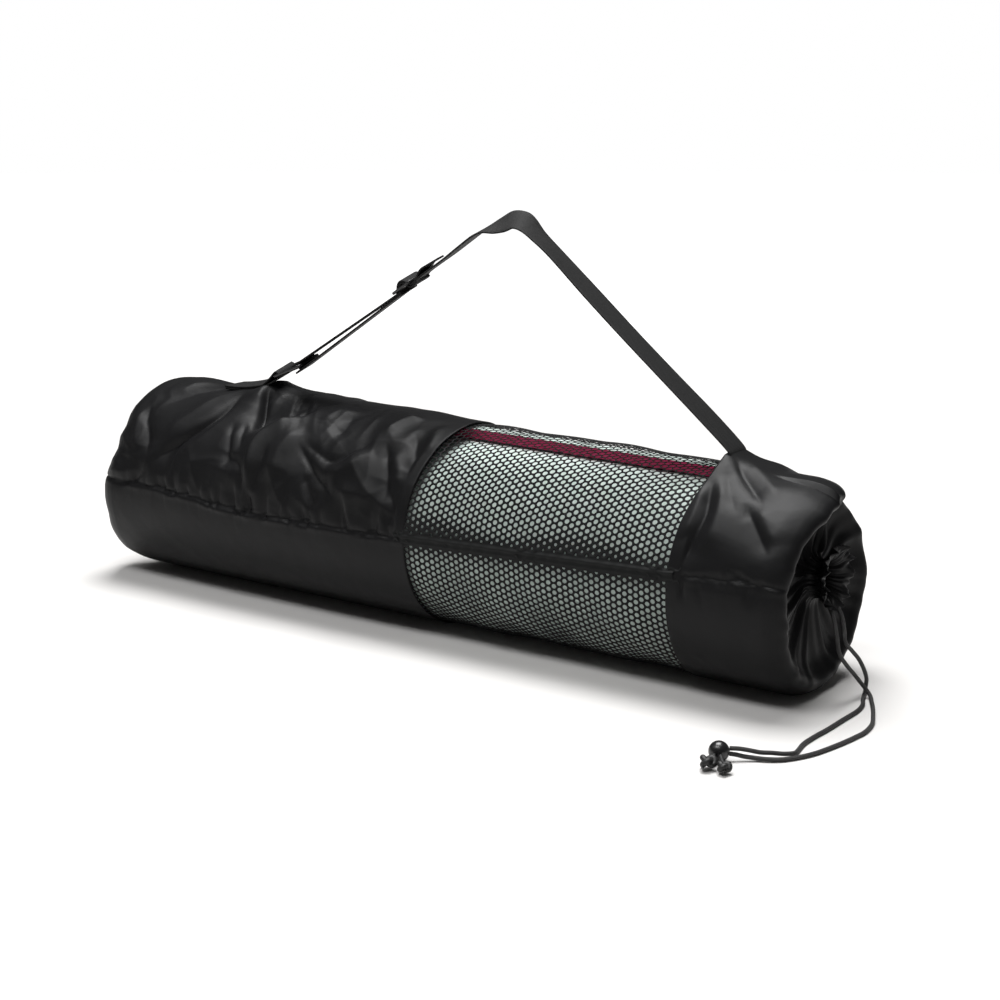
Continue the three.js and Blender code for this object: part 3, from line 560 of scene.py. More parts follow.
def nylon_radius(x, angle):
    """Outer radius of the nylon, folds and seam included."""
    angle = side_of(angle)
    s = angle * ARC
    relief = np.zeros(x.shape)
    for fold in CLOTH_FOLDS:
        add_fold(relief, x, s, *fold)
    relief += tent(x, angle, TAB_PEAK, TAB_TENT)
    relief += tent(x, angle, STRAP_PEAK, STRAP_TENT)
    from_seam = s - seam_angle(x) * ARC
    upper = smooth_step(-1.0, -14.0, from_seam)
    closed = smooth_step(NET_START + 0.5, NET_START - 14.5, x)
    relief += (0.12 + 0.88 * upper * closed) * creases(x, s)
    hollow_x, hollow_s, size, depth = DEEP_HOLLOW
    relief += depth * np.exp(-((x - hollow_x) / size) ** 2 - ((s - hollow_s) / size) ** 2)
    relief -= GROOVE_DEPTH * np.exp(-np.abs(from_seam))
    ledge = LEDGE_HEIGHT + LEDGE_GAIN * smooth_step(-250, -215, x) * smooth_step(-60, -110, x)
    ledge *= 0.8 + 0.4 * np.sin(x / 6.5 + 2 * np.sin(x / 23))
    relief += ledge * np.exp(-((from_seam - LEDGE_PLACE) / LEDGE_WIDTH) ** 2)
    from_net = np.maximum(NET_START + top_bow(angle) - x, x - NET_END - top_bow(angle))
    relief = np.maximum(relief, -0.2 - 14.0 * smooth_step(8, 22, from_net))
    lowest = roll_reach(x, angle) + FIT_GAP + NYLON_WALL
    spare = (base_radius(x, angle) + relief - lowest) / SOFT_STOP
    return lowest + SOFT_STOP * np.logaddexp(spare, 0.0)


def net_radius(x, angle):
    angle = side_of(angle)
    over_roll = roll_reach(x, angle) + FIT_GAP + NET_WALL
    return np.maximum(base_radius(x, angle) - NYLON_WALL - FIT_GAP, over_roll)


def points_at(x, radius, angle, lowest=0.0):
    turn = np.radians(angle)
    up = np.maximum(bag_radius(x) + radius * np.cos(turn), lowest)
    return np.stack([x, -radius * np.sin(turn), up], axis=-1)


def top_bow(angle):
    return SEAM_BOW * np.clip(np.cos(np.radians(angle)), 0, None) ** 3


# Angles of the panels' rings, closer together over the top and front
ANGLES = np.r_[np.linspace(-40, 130, 200, endpoint=False), np.linspace(130, 320, 96, endpoint=False)]
BAG_V = np.r_[ANGLES, ANGLES[0] + 360] * ARC


def side_of(angle):
    """The angle counted from -180 to 180."""
    return np.where(angle > 180, angle - 360, angle)


def end_lean(x):
    """How far each point of a ring near an end is pushed along the bag."""
    turned = side_of(ANGLES)
    closed = smooth_step(CLOSED_END + LEAN_REACH, CLOSED_END + 4, x)
    mouth = smooth_step(RIM - LEAN_REACH, RIM - 6, x)
    return closed * np.interp(turned, *CLOSED_LEAN.T) + mouth * np.interp(turned, *MOUTH_LEAN.T)


# Materials


SOCKETS = {"colour": "Base Color", "roughness": "Roughness", "specular": "Specular IOR Level"}


def new_material(name, **plain):
    """A material. What is the same all over is set on its shader's own sockets."""
    material = bpy.data.materials.new(name)
    material.use_nodes = True
    tree = material.node_tree
    shader = tree.nodes["Principled BSDF"]
    for key, value in plain.items():
        shader.inputs[SOCKETS[key]].default_value = value
    return material, tree, shader


def add_node(tree, kind, **values):
    """Adds a node. Each value is a setting, an input's number, or a socket that feeds it."""
    node = tree.nodes.new(kind)
    for key, value in values.items():
        name = key.replace("_", " ")
        if name not in node.inputs:
            setattr(node, key, value)
        elif isinstance(value, bpy.types.NodeSocket):
            tree.links.new(value, node.inputs[name])
        else:
            node.inputs[name].default_value = value
    return node


def add_bump(tree, shader, heights):
    """Chains one bump for each (height socket, distance in metres, strength)."""
    last = None
    for socket, distance, strength in heights:
        bump = add_node(tree, "ShaderNodeBump", Height=socket, Distance=distance, Strength=strength)
        if last is not None:
            tree.links.new(last.outputs["Normal"], bump.inputs["Normal"])
        last = bump
    tree.links.new(last.outputs["Normal"], shader.inputs["Normal"])


def coordinates(tree, kind):
    return add_node(tree, "ShaderNodeTexCoord").outputs[kind]


def higher_of(tree, waves):
    """The higher of two waves, as threads that cross have it."""
    mix = add_node(tree, "ShaderNodeMath", operation="MAXIMUM")
    for wave, value in zip(waves, mix.inputs):
        tree.links.new(wave.outputs["Fac"], value)
    return mix.outputs[0]


def weave_height(tree, across_scale, along_scale):
    place = coordinates(tree, "UV")
    return higher_of(tree, [
        add_node(tree, "ShaderNodeTexWave", Scale=scale, Vector=place, bands_direction=direction)
        for direction, scale in (("X", across_scale), ("Y", along_scale))
    ])


def noise_value(tree, scale, detail):
    place = coordinates(tree, "Object")
    return add_node(tree, "ShaderNodeTexNoise", Scale=scale, Detail=detail, Vector=place).outputs["Fac"]


def colour_between(tree, factor, low, high, start=0.3, end=0.7):
    ramp = add_node(tree, "ShaderNodeValToRGB", Fac=factor)
    for element, spot, colour in zip(ramp.color_ramp.elements, (start, end), (low, high)):
        element.position = spot
        element.color = (*colour, 1)
    return ramp.outputs["Color"]


def value_between(tree, factor, low, high):
    scale = add_node(tree, "ShaderNodeMapRange", Value=factor, To_Min=low, To_Max=high)
    return scale.outputs["Result"]


def nylon_material():
    material, tree, shader = new_material("nylon", specular=0.14)
    tone = noise_value(tree, 9.0, 4.0)
    colour = colour_between(tree, tone, (0.0036, 0.0036, 0.0039), (0.0056, 0.0056, 0.0061))
    tree.links.new(colour, shader.inputs["Base Color"])
    tree.links.new(value_between(tree, tone, 0.42, 0.52), shader.inputs["Roughness"])
    add_bump(tree, shader, [
        (noise_value(tree, 38.0, 3.0), 0.0012, 0.35),
        (noise_value(tree, 110.0, 2.0), 0.0004, 0.25),
        (weave_height(tree, 900.0, 900.0), 0.00004, 0.25),
    ])
    return material


def net_material():
    material, tree, shader = new_material(
        "net", colour=(0.006, 0.0065, 0.0065, 1), roughness=0.6, specular=0.14)
    add_bump(tree, shader, [(noise_value(tree, 2200.0, 2.0), 0.0002, 0.5)])
    return material


def mat_material(name, low, high):
    material, tree, shader = new_material(name, roughness=0.75, specular=0.25)
    colour = colour_between(tree, noise_value(tree, 60.0, 5.0), low, high)
    tree.links.new(colour, shader.inputs["Base Color"])
    add_bump(tree, shader, [(noise_value(tree, 900.0, 3.0), 0.0004, 0.4)])
    return material


def webbing_material():
    material, tree, shader = new_material("webbing", roughness=0.62, specular=0.15)
    weave = weave_height(tree, 320.0, 210.0)
    colour = colour_between(tree, weave, (0.004, 0.004, 0.0043), (0.011, 0.011, 0.011), 0.2, 0.9)
    tree.links.new(colour, shader.inputs["Base Color"])
    add_bump(tree, shader, [(weave, 0.0003, 0.7)])
    return material


def plastic_material():
    material, tree, shader = new_material("plastic", colour=(0.008, 0.008, 0.0085, 1))
    tone = noise_value(tree, 150.0, 4.0)
    tree.links.new(value_between(tree, tone, 0.22, 0.36), shader.inputs["Roughness"])
    add_bump(tree, shader, [(noise_value(tree, 1400.0, 2.0), 0.00008, 0.2)])
    return material


def cord_material():
    material, tree, shader = new_material("cord", roughness=0.55)
    place = coordinates(tree, "UV")
    twists = []
    for slant in (1.0, -1.0):
        turned = add_node(tree, "ShaderNodeMapping", Vector=place)
        turned.inputs["Rotation"].default_value = (0, 0, slant * math.radians(42))
        wave = add_node(tree, "ShaderNodeTexWave", Scale=340.0, Vector=turned.outputs["Vector"])
        twists.append(wave)
    braid = higher_of(tree, twists)
    colour = colour_between(tree, braid, (0.006, 0.006, 0.006), (0.022, 0.021, 0.021), 0.3, 1.0)
    tree.links.new(colour, shader.inputs["Base Color"])
    add_bump(tree, shader, [(braid, 0.0003, 0.8)])
    return material


NYLON = nylon_material()
NET = net_material()
MAT_GREEN = mat_material("mat_green", (0.66, 0.76, 0.71), (0.74, 0.83, 0.79))
MAT_BURGUNDY = mat_material("mat_burgundy", (0.33, 0.016, 0.07), (0.4, 0.026, 0.095))
WEBBING = webbing_material()
PLASTIC = plastic_material()
CORD = cord_material()


def settle(piece, slot, *nodes):
    """Lets a piece ride on the part and stand for the solids that it replaces."""
    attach(piece, "root")
    if nodes:
        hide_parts(*nodes)
    return piece


# Camera and light


def aimed(place, target):
    """The turn that points a camera or light from its place at its target."""
    return (Vector(target) - Vector(place)).to_track_quat("-Z", "Y").to_euler()


def add_camera():
    data = bpy.data.cameras.new("camera")
    data.lens = CAMERA_LENS
    data.sensor_width = CAMERA_SENSOR
    camera = add_object("camera", data)
    camera.location = CAMERA_PLACE
    camera.rotation_euler = aimed(CAMERA_PLACE, CAMERA_TARGET)
    bpy.context.scene.camera = camera


def add_lights():
    for name, place, target, size, power in LIGHTS:
        data = bpy.data.lights.new(name, "AREA")
        data.shape = "RECTANGLE"
        data.size, data.size_y = size
        data.energy = power
        light = add_object(name, data)
        light.location = place
        light.rotation_euler = aimed(place, target)


def add_stage():
    """A pale floor that turns into an evenly lit white sweep further out."""
    material, tree, shader = new_material(
        "floor", colour=(0.62, 0.61, 0.6, 1), roughness=0.9, specular=0.1)
    shader.inputs["Emission Color"].default_value = (1, 1, 1, 1)
    away = add_node(tree, "ShaderNodeVectorMath", operation="LENGTH")
    tree.links.new(coordinates(tree, "Object"), away.inputs[0])
    near, far = FLOOR_GLOW
    glow = add_node(
        tree, "ShaderNodeMapRange", interpolation_type="SMOOTHSTEP",
        Value=away.outputs["Value"], From_Min=near, From_Max=far)
    tree.links.new(glow.outputs["Result"], shader.inputs["Emission Strength"])
    turns = np.radians(np.arange(64) * 360 / 64)
    radii = np.array([0.01, 300.0, 700.0, 1200.0, 2200.0, 4000.0, 9000.0])
    points = np.array([[(r * math.cos(t), r * math.sin(t), 0.0) for t in turns] for r in radii])
    floor = grid_piece("floor", points, radii, np.arange(65.0), material)


def add_world():
    """White behind everything, and much dimmer as a light."""
    world = bpy.data.worlds.new("studio")
    bpy.context.scene.world = world
    world.use_nodes = True
    tree = world.node_tree
    back = tree.nodes["Background"]
    back.inputs["Color"].default_value = (1, 1, 1, 1)
    path = add_node(tree, "ShaderNodeLightPath")
    level = value_between(tree, path.outputs["Is Camera Ray"], WORLD_LIGHT, 1.0)
    tree.links.new(level, back.inputs["Strength"])
    bpy.context.scene.view_settings.view_transform = "Standard"


# Nylon panels


def side_rings(side_x, bowed):
    """Rings of cloth from an end to the net, which take on the bow of the net's edge."""
    rings = []
    for x, share in zip(side_x, bowed):
        xs = x + share * top_bow(ANGLES)
        ring = points_at(xs, nylon_radius(xs, ANGLES), ANGLES)
        ring[:, 0] += end_lean(xs)
        rings.append(ring)
    return rings


def hem_rings(edge, way):
    """The hem beside the net, which turns in under the cloth."""
    rings = []
    for past, sunk in ((0.5, 0.8), (-1.5, 1.5)):
        xs = edge + way * past + top_bow(ANGLES)
        rings.append(points_at(xs, nylon_radius(xs, ANGLES) - sunk, ANGLES))
    return rings


def closed_panel():
    cap = smooth_path(CLOSED_RINGS, 5)[:-1]
    side_x = np.linspace(CLOSED_END + 1.2 * CORNER_RADIUS, NET_START - FIT_GAP / 2, 262)
    pucker = 0.8 * np.cos(np.radians(ANGLES * 23) + 1.3 * np.sin(np.radians(ANGLES * 5)))
    rings = []
    for along, size in cap[1:]:
        x = np.full(ANGLES.shape, CLOSED_END + along * CORNER_RADIUS)
        radius = size * nylon_radius(np.maximum(x, CLOSED_END + 8.0), ANGLES)
        x = x + smooth_step(0.2, 0.8, size) * smooth_step(1.0, 0.86, size) * pucker
        ring = points_at(x, radius, ANGLES)
        ring[:, 0] += smooth_step(0.1, 0.8, size) * end_lean(x)
        rings.append(ring)
    rings += side_rings(side_x, smooth_step(NET_START - 4 * SEAM_BOW, NET_START, side_x))
    rings += hem_rings(NET_START, 1)
    along_side = side_x - side_x[0]
    u = np.r_[np.linspace(-90, 0, len(cap) - 1), along_side, along_side[-1] + np.array([1, 3])]
    piece = grid_piece("closed_cloth", np.array(rings), u, BAG_V, NYLON, flip=True)
    settle(piece, "black_nylon", "closed_panel")


def pleats(turn):
    """Uneven pleats round the mouth, from -1 to 1."""
    phase = 11 * turn + 0.8 * np.sin(2 * turn + 0.7) + 0.5 * np.sin(5 * turn)
    return 1 - 2 * np.abs(np.sin(phase / 2)) ** 0.8


def fine_pleats(turn):
    return np.cos(26 * turn + 1.6 * np.sin(3 * turn + 1) + 0.9 * np.sin(7 * turn))


def mouth_panel():
    side_end = RIM + MOUTH_RINGS[0, 0] * RUFFLE_LENGTH
    side_x = np.linspace(NET_END + FIT_GAP / 2, side_end, 58)[:-1]
    bowed = 1 - smooth_step(NET_END, NET_END + 4 * SEAM_BOW, side_x)
    rings = hem_rings(NET_END, -1)[::-1] + side_rings(side_x, bowed)
    away = np.clip(np.abs(side_of(ANGLES)) / 80.0, 0, 1)
    hang = np.cos(away * math.pi / 2) ** 2
    turn = np.radians(ANGLES)
    wave = 0.75 * pleats(turn) + 0.25 * fine_pleats(turn)
    for along, size, rise, lip, pleat, is_round in smooth_path(MOUTH_RINGS, 6):
        x = np.full(ANGLES.shape, RIM + along * RUFFLE_LENGTH)
        side = nylon_radius(np.minimum(x, RIM), ANGLES)
        inner = smooth_step(0.3, 0.2, size)
        radius = size * (side * (1 - is_round) + MOUTH_RADIUS_SIDE * is_round)
        radius = radius + inner * pleat * wave * 0.8
        up = np.maximum(bag_radius(x) + rise + radius * np.cos(turn), 0)
        lean = end_lean(x) * smooth_step(0.3, 0.85, size)
        x = x + lean + lip * LIP_DEPTH * hang + pleat * wave * (1 - inner)
        rings.append(np.stack([x, -radius * np.sin(turn), up], axis=-1))
    points = np.array(rings)
    piece = grid_piece("mouth_cloth", points, lengths_along(points[:, 60]), BAG_V, NYLON, flip=True)
    settle(piece, "black_nylon", "mouth_panel", "mouth_hem")


# Net


def net_half(name, way, *replaced):
    """Holes in a hexagonal lattice from the seam to the back, over the top (-1) or below (1)."""
    column_step = NET_PITCH * math.cos(math.radians(30))
    columns = int((NET_END - NET_START + 2 * NET_TUCK + SEAM_BOW) / column_step)
    rows = int((180 * ARC - NET_FROM_SEAM) / NET_PITCH)
    centres = np.array([
        (NET_START - NET_TUCK + i * column_step, NET_FROM_SEAM + (j + 0.5 * (i % 2)) * NET_PITCH)
        for i in range(columns) for j in range(rows)
    ])
    from_seam = centres[:, 1:]
    turn = np.radians(np.arange(HOLE_SIDES) * 360 / HOLE_SIDES)
    cell = NET_PITCH * np.where(np.arange(HOLE_SIDES) % 2 == 0, 1 / math.sqrt(3), 0.5)
    # The upper half is bunched at the seam and wider open near the top
    bunched = 20 + 7 * np.sin(centres[:, :1] / 21) if way < 0 else 12.0
    open_share = 0.42 + 0.58 * smooth_step(0.0, bunched, from_seam)
    if way < 0:
        open_share = open_share * (1 + 0.27 * smooth_step(55.0, 105.0, from_seam))
    loops = []
    for share, sink in ((0.0, 0.55), (0.3, 0.1), (1.0, 0.0)):
        reach = NET_HOLE * NET_PITCH * (1 - share) + cell * share
        if share < 1:
            reach = reach * open_share
        xs = centres[:, :1] + reach * np.cos(turn)
        ss = from_seam + reach * np.sin(turn)
        angle = seam_angle(xs) + way * ss / ARC
        bunch = 1.6 * np.exp(-(ss / 7.0) ** 2)
        drift = 0.5 * np.sin(xs / 17 + ss / 23) + 0.4 * np.sin(xs / 9 - ss / 14 + 1)
        shifted = xs + top_bow(angle)
        radius = net_radius(shifted, angle) + bunch + drift - sink
        loops.append(points_at(shifted, radius, angle, 1.7))
    cell_quads, _, _ = grid_faces(len(loops), HOLE_SIDES, wrap_columns=True)
    starts = np.arange(len(centres)) * len(loops) * HOLE_SIDES
    faces = (starts[:, None, None] + cell_quads).reshape(-1, 4)
    if way > 0:
        faces = faces[:, ::-1]
    piece = add_mesh(name, np.stack(loops, axis=1).reshape(-1, 3), faces.tolist(), NET)
    merge_close(piece, 0.00004)
    settle(piece, "black_net", *replaced)


def net_seam():
    """The folded band where the net's long seam runs."""
    xs = np.linspace(NET_START - 5, NET_END + 5, 150)
    across = np.linspace(-SEAM_BAND, SEAM_BAND, 15)
    x, s = np.meshgrid(xs, across, indexing="ij")
    angle = seam_angle(x) + s / ARC
    fold = 1.4 * np.exp(-((s + 1.5) / 1.6) ** 2) + 0.8 * np.exp(-((s - 2.4) / 1.4) ** 2)
    crinkle = 0.45 * np.sin(x / 2.1 + 2 * np.sin(x / 11)) * np.exp(-(s / 4) ** 2)
    radius = net_radius(x, angle) + 1.3 + fold + crinkle
    points = points_at(x, radius, angle)
    piece = grid_piece("net_seam", points, xs, across, NET, wrapped=False, flip=True)
    settle(piece, "black_net")


# Rolled mat


def rolled_mat():
    steps_per_turn = 84
    turns = (bag_radius(ROLL_START) + MAT_EDGE_LIFT - MAT_THICKNESS - CORE_RADIUS) / ROLL_PITCH
    steps = int(turns * steps_per_turn)
    turned = np.arange(steps + 1) / steps_per_turn
    bend = np.linspace(NET_START - 64, NET_START - 4, 9)
    stations = np.r_[ROLL_START, ROLL_START + 1.2, bend, ROLL_END - 1.2, ROLL_END]
    inset = np.r_[1.0, np.zeros(len(stations) - 2), 1.0]
    turn = np.radians(MAT_EDGE_ANGLE - 360 * turned)
    rounding = 1.2 * np.exp(-turned * steps_per_turn / 0.8)
    x = stations[:, None]
    across, up = roll_centre(x)
    skins = []
    for depth, sign in ((0.0, -1), (MAT_THICKNESS, 1)):
        radius = roll_edge(x) - ROLL_PITCH * turned - depth + sign * (inset[:, None] + rounding)
        places = (x + 0 * turned, across - radius * np.sin(turn), up + radius * np.cos(turn))
        skins.append(np.stack(places, axis=-1))
    outer, inner = skins
    ring = np.concatenate([outer, inner[::-1]])
    rows, columns = ring.shape[:2]
    faces, face_rows, _ = grid_faces(rows, columns, wrap_rows=True)
    ends = []
    for column in (0, columns - 1):
        loop = [row * columns + column for row in range(rows)]
        ends.append(loop if column else loop[::-1])
    mesh_faces = faces[:, ::-1].tolist() + ends
    piece = add_mesh("mat_sheet", ring.reshape(-1, 3), mesh_faces, MAT_GREEN, flat=2)
    piece.data.materials.append(MAT_BURGUNDY)
    slots = np.r_[face_rows[:, 0] >= len(stations) - 1, 1, 1]
    piece.data.polygons.foreach_set("material_index", slots.astype(np.int32))
    piece.data.update()
    settle(piece, "foam_mat", "rolled_mat")


# Webbing


def top_height(x):
    reach = math.degrees(WEB_WIDTH / 2 / bag_radius(x))
    spots = np.array([-reach, 0.0, reach])
    heights = nylon_radius(np.full(3, float(x)), spots) * np.cos(np.radians(spots))
    return bag_radius(x) + heights.max()


def band(name, path, tilt):
    """Webbing in the bag's middle plane, with rounded edges.

    Its spots are x, z, roll and how far the hardware holds it, which tilts as a whole.
    """
    path = even_path(path, 1.4)
    run = np.gradient(path[:, :2], axis=0)
    run /= np.linalg.norm(run, axis=1)[:, None]
    roll, held = np.radians(path[:, 2:3]), np.clip(path[:, 3:4], 0, 1)
    along = np.stack([run[:, 0], np.zeros(len(run)), run[:, 1]], axis=-1)
    face = np.stack([-run[:, 1], np.zeros(len(run)), run[:, 0]], axis=-1)
    above = np.array([-math.sin(math.radians(tilt)), 0.0, math.cos(math.radians(tilt))])
    lift = held * above + (1 - held) * face
    across = np.array([0.0, 1.0, 0.0]) * np.cos(roll) + lift * np.sin(roll)
    out = np.cross(along, across)
    out /= np.linalg.norm(out, axis=1)[:, None]
    half, level = WEB_WIDTH / 2, WEB_THICKNESS / 2
    upper = [(y, level) for y in np.linspace(-half + 0.5, half - 0.5, 9)]
    upper += [(half - 0.12, level * 0.75), (half, 0.0), (half - 0.12, -level * 0.75)]
    section = np.array(upper + [(-y, -z) for y, z in upper])
    centre = np.stack([path[:, 0], np.zeros(len(path)), path[:, 1]], axis=-1)
    points = (
        centre[:, None] + across[:, None] * section[None, :, :1] + out[:, None] * section[None, :, 1:]
    )
    u, v = lengths_along(path[:, :2]), lengths_along(np.vstack([section, section[:1]]))
    return grid_piece(name, points, u, v, WEBBING, flip=True, ends=True)


def in_frame(frame_place, along, above):
    x, z, tilt = frame_place
    turn = math.radians(tilt)
    return (
        x + along * math.cos(turn) - above * math.sin(turn),
        z + along * math.sin(turn) + above * math.cos(turn),
    )


STRAP_RUN = STRAP_PEAK - TAB_PEAK
RING_FRAME = (TAB_PEAK + RING_LEAD, top_height(TAB_PEAK) + RING_LIFT, RING_TILT)
STRAP_FOOT = top_height(STRAP_PEAK) + FIT_GAP + WEB_THICKNESS / 2
SLIDER_FRAME = (
    TAB_PEAK + SLIDER_ALONG * STRAP_RUN, STRAP_FOOT + SLIDER_UP * STRAP_RISE, SLIDER_TILT,
)

# The strap from its slider to its sewn end: share along, share up, and roll
STRAP_ROUTE = [
    (0.363, 0.705, 14), (0.422, 0.813, 13), (0.456, 0.88, 12), (0.489, 0.943, 12),
    (0.51, 0.971, 18), (0.532, 0.987, 31), (0.552, 1.004, 37), (0.572, 1.009, 27),
    (0.586, 0.994, 15), (0.599, 0.967, 5), (0.615, 0.93, 0), (0.652, 0.846, -3),
    (0.726, 0.662, 0), (0.799, 0.483, 0), (0.873, 0.307, 0), (0.946, 0.135, 1), (1.0, 0.0, 0),
]


def wrap_path(bar, start, end):
    turns = np.radians(np.linspace(start, end, 9))
    x, z = bar[:2]
    return [
        (x + WRAP_RADIUS * math.cos(t), z + WRAP_RADIUS * math.sin(t), HARDWARE_ROLL, 1) for t in turns
    ]


def in_slider(spots):
    """Spots of the webbing that the slider holds, from places in the slider's own frame."""
    return [(*in_frame(SLIDER_FRAME, *spot), HARDWARE_ROLL, 1) for spot in spots]


def strap():
    over = SLIDER_THICKNESS / 2 + FIT_GAP + WEB_THICKNESS / 2
    under = -over - LAYER_PITCH
    low, high = under + 2.0, over + 1.8
    tip = in_slider([(33, 1.6), (23, 2.4)])
    back = in_slider([
        (13.4, low - 0.1), (8.3, low), (2.7, high), (-2.7, high), (-8.3, low), (-13.4, low - 0.1),
    ])
    far_bar = in_frame(RING_FRAME, RING_LENGTH - RING_BAR, 0)
    through = in_slider([
        (-13, under), (-7.4, under), (-1.9, over), (1.9, over), (7.4, under), (13, under),
    ])
    to_sewn = [(TAB_PEAK + a * STRAP_RUN, STRAP_FOOT + u * STRAP_RISE, t, 0) for a, u, t in STRAP_ROUTE]
    sewn_in = (STRAP_PEAK + 2.0, STRAP_FOOT - 5.0, 0, 0)
    route = [*tip, *back, *wrap_path(far_bar, 123, 303), *through, *to_sewn, sewn_in]
    piece = band("strap_webbing", smooth_path(route, 6), SLIDER_TILT)
    settle(piece, "black_webbing", "strap")


def strap_tab():
    lower = []
    for share in (0, 0.24, 0.5, 0.72, 0.9):
        x = TAB_PEAK - TAB_LENGTH * (1 - share)
        lower.append((x, top_height(x) + 1.4, HARDWARE_ROLL * share, 1))
    upper = [(x - 0.4, z + LAYER_PITCH, roll, 1) for x, z, roll, _ in reversed(lower)]
    route = [*lower, *wrap_path(RING_FRAME, -58, 122), *upper]
    piece = band("tab_webbing", smooth_path(route, 6), RING_TILT)
    settle(piece, "black_webbing", "strap_tab")


# Hardware


def tube_loop(path, size_out, size_up, closed=True):
    """Rings of points round a flat path in (along, across), with an oval section."""
    path = np.asarray(path, float)
    before, after = (path[-1:], path[:1]) if closed else (path[:1], path[-1:])
    padded = np.vstack([before, path, after])
    run = padded[2:] - padded[:-2]
    run /= np.linalg.norm(run, axis=1)[:, None]
    out = np.stack([run[:, 1], -run[:, 0]], axis=-1)
    turns = np.radians((np.arange(12) + 0.5) * 30)
    square, level = (np.sign(w) * np.abs(w) ** 0.6 / 2 for w in (np.cos(turns), np.sin(turns)))
    flat = path[:, None] + out[:, None] * (size_out * square)[None, :, None]
    up = np.broadcast_to((size_up * level)[None, :, None], (*flat.shape[:2], 1))
    return np.concatenate([flat, up], axis=-1), closed


def rounded_loop(left, right, half):
    corner = HARDWARE_CORNER
    out = []
    for cx, cy, start in (
        (right - corner, half - corner, 0), (left + corner, half - corner, 90),
        (left + corner, corner - half, 180), (right - corner, corner - half, 270),
    ):
        for turn in np.radians(np.linspace(start, start + 90, 5)):
            out.append((cx + corner * math.cos(turn), cy + corner * math.sin(turn)))
    return out


def hardware_piece(name, loops, frame_place):
    """Joins tubes, closed or open, turns them with the webbing and tilts them into place."""
    turn = math.radians(HARDWARE_ROLL)
    grids = []
    for local, closed in loops:
        rows, columns = local.shape[:2]
        faces, _, _ = grid_faces(rows, columns, wrap_rows=closed, wrap_columns=True)
        caps = [] if closed else [cap[::-1] for cap in end_faces(rows, columns)]
        along, side, up = local[..., 0], local[..., 1], local[..., 2]
        across = side * math.cos(turn) - up * math.sin(turn)
        above = side * math.sin(turn) + up * math.cos(turn)
        x, z = in_frame(frame_place, along, above)
        grids.append((np.stack([x, across, z], axis=-1), faces.tolist() + caps))
    return add_mesh(name, *joined(grids), PLASTIC)


def strap_ring():
    half = WEB_WIDTH / 2 + RAIL_GAP + RING_BAR / 2
    loop = rounded_loop(0, RING_LENGTH - RING_BAR, half)
    piece = hardware_piece("ring_loop", [tube_loop(loop, RING_BAR, RING_BAR)], RING_FRAME)
    settle(piece, "black_plastic", "strap_ring")


def strap_slider():
    half = WEB_WIDTH / 2 + RAIL_GAP + SLIDER_BAR / 2
    reach = (SLIDER_LENGTH - SLIDER_BAR) / 2
    middle = [(0.0, y) for y in np.linspace(-half, half, 7)]
    loops = [
        tube_loop(rounded_loop(-reach, reach, half), SLIDER_BAR, SLIDER_THICKNESS),
        tube_loop(middle, SLIDER_BAR, SLIDER_THICKNESS, closed=False),
    ]
    piece = hardware_piece("slider_frame", loops, SLIDER_FRAME)
    settle(piece, "black_plastic", "strap_slider")


# Cords: the share past the rim, the share to the front and the share up of each spot
INNER_CORD = [
    (-0.033, -0.019, 0.99), (0.083, -0.025, 0.956), (0.2, -0.0125, 0.85), (0.283, 0.019, 0.72),
    (0.333, 0.044, 0.606), (0.367, -0.006, 0.49), (0.4, -0.056, 0.377), (0.425, -0.097, 0.249),
    (0.433, -0.125, 0.134), (0.425, -0.131, 0.056), (0.442, -0.109, 0.004), (0.483, -0.0625, 0),
    (0.533, -0.006, 0), (0.6, 0.056, 0), (0.633, 0.144, 0), (0.617, 0.269, 0), (0.6, 0.419, 0),
    (0.575, 0.525, 0), (0.567, 0.625, 0), (0.6, 0.706, 0), (0.608, 0.744, 0.003),
    (0.542, 0.7875, 0.014), (0.442, 0.828, 0.034), (0.358, 0.866, 0.051), (0.267, 0.897, 0.077),
    (0.183, 0.922, 0.094), (0.105, 0.946, 0.101),
]
OUTER_CORD = [
    (-0.033, 0.019, 0.981), (0.083, 0.031, 0.941), (0.2, 0.0625, 0.834), (0.283, 0.094, 0.691),
    (0.333, 0.1, 0.52), (0.375, 0.05, 0.37), (0.417, -0.006, 0.241), (0.455, -0.047, 0.134),
    (0.5, -0.064, 0.066), (0.567, -0.056, 0.014), (0.633, -0.0125, 0), (0.742, 0.069, 0),
    (0.85, 0.1625, 0), (0.942, 0.256, 0), (0.975, 0.356, 0), (0.95, 0.4375, 0),
    (0.908, 0.525, 0), (0.858, 0.606, 0), (0.792, 0.694, 0), (0.7, 0.769, 0),
    (0.583, 0.834, 0.001), (0.45, 0.872, 0.006), (0.333, 0.894, 0.013), (0.233, 0.916, 0.024),
    (0.167, 0.931, 0.039), (0.103, 0.947, 0.049),
]


def tube_rings(path, radius, sides):
    """Rings round a path in space, turned as little as possible from one to the next."""
    path = np.asarray(path, float)
    run = np.gradient(path, axis=0)
    run /= np.linalg.norm(run, axis=1)[:, None]
    normal = np.cross(run[0], (0.0, 0.0, 1.0))
    radius = np.broadcast_to(radius, len(path))
    turns = np.arange(sides) * 2 * math.pi / sides
    rings = []
    for spot, way, size in zip(path, run, radius):
        normal = normal - way * np.dot(normal, way)
        normal /= np.linalg.norm(normal)
        other = np.cross(way, normal)
        rings.append(spot + size * (np.cos(turns)[:, None] * normal + np.sin(turns)[:, None] * other))
    return np.array(rings)


def cord_points(route):
    return np.array([
        (RIM + along * CORD_REACH, -out * CORD_RUN, CORD_DIAMETER / 2 + up * CORD_DROP + FIT_GAP / 4)
        for along, out, up in route
    ])


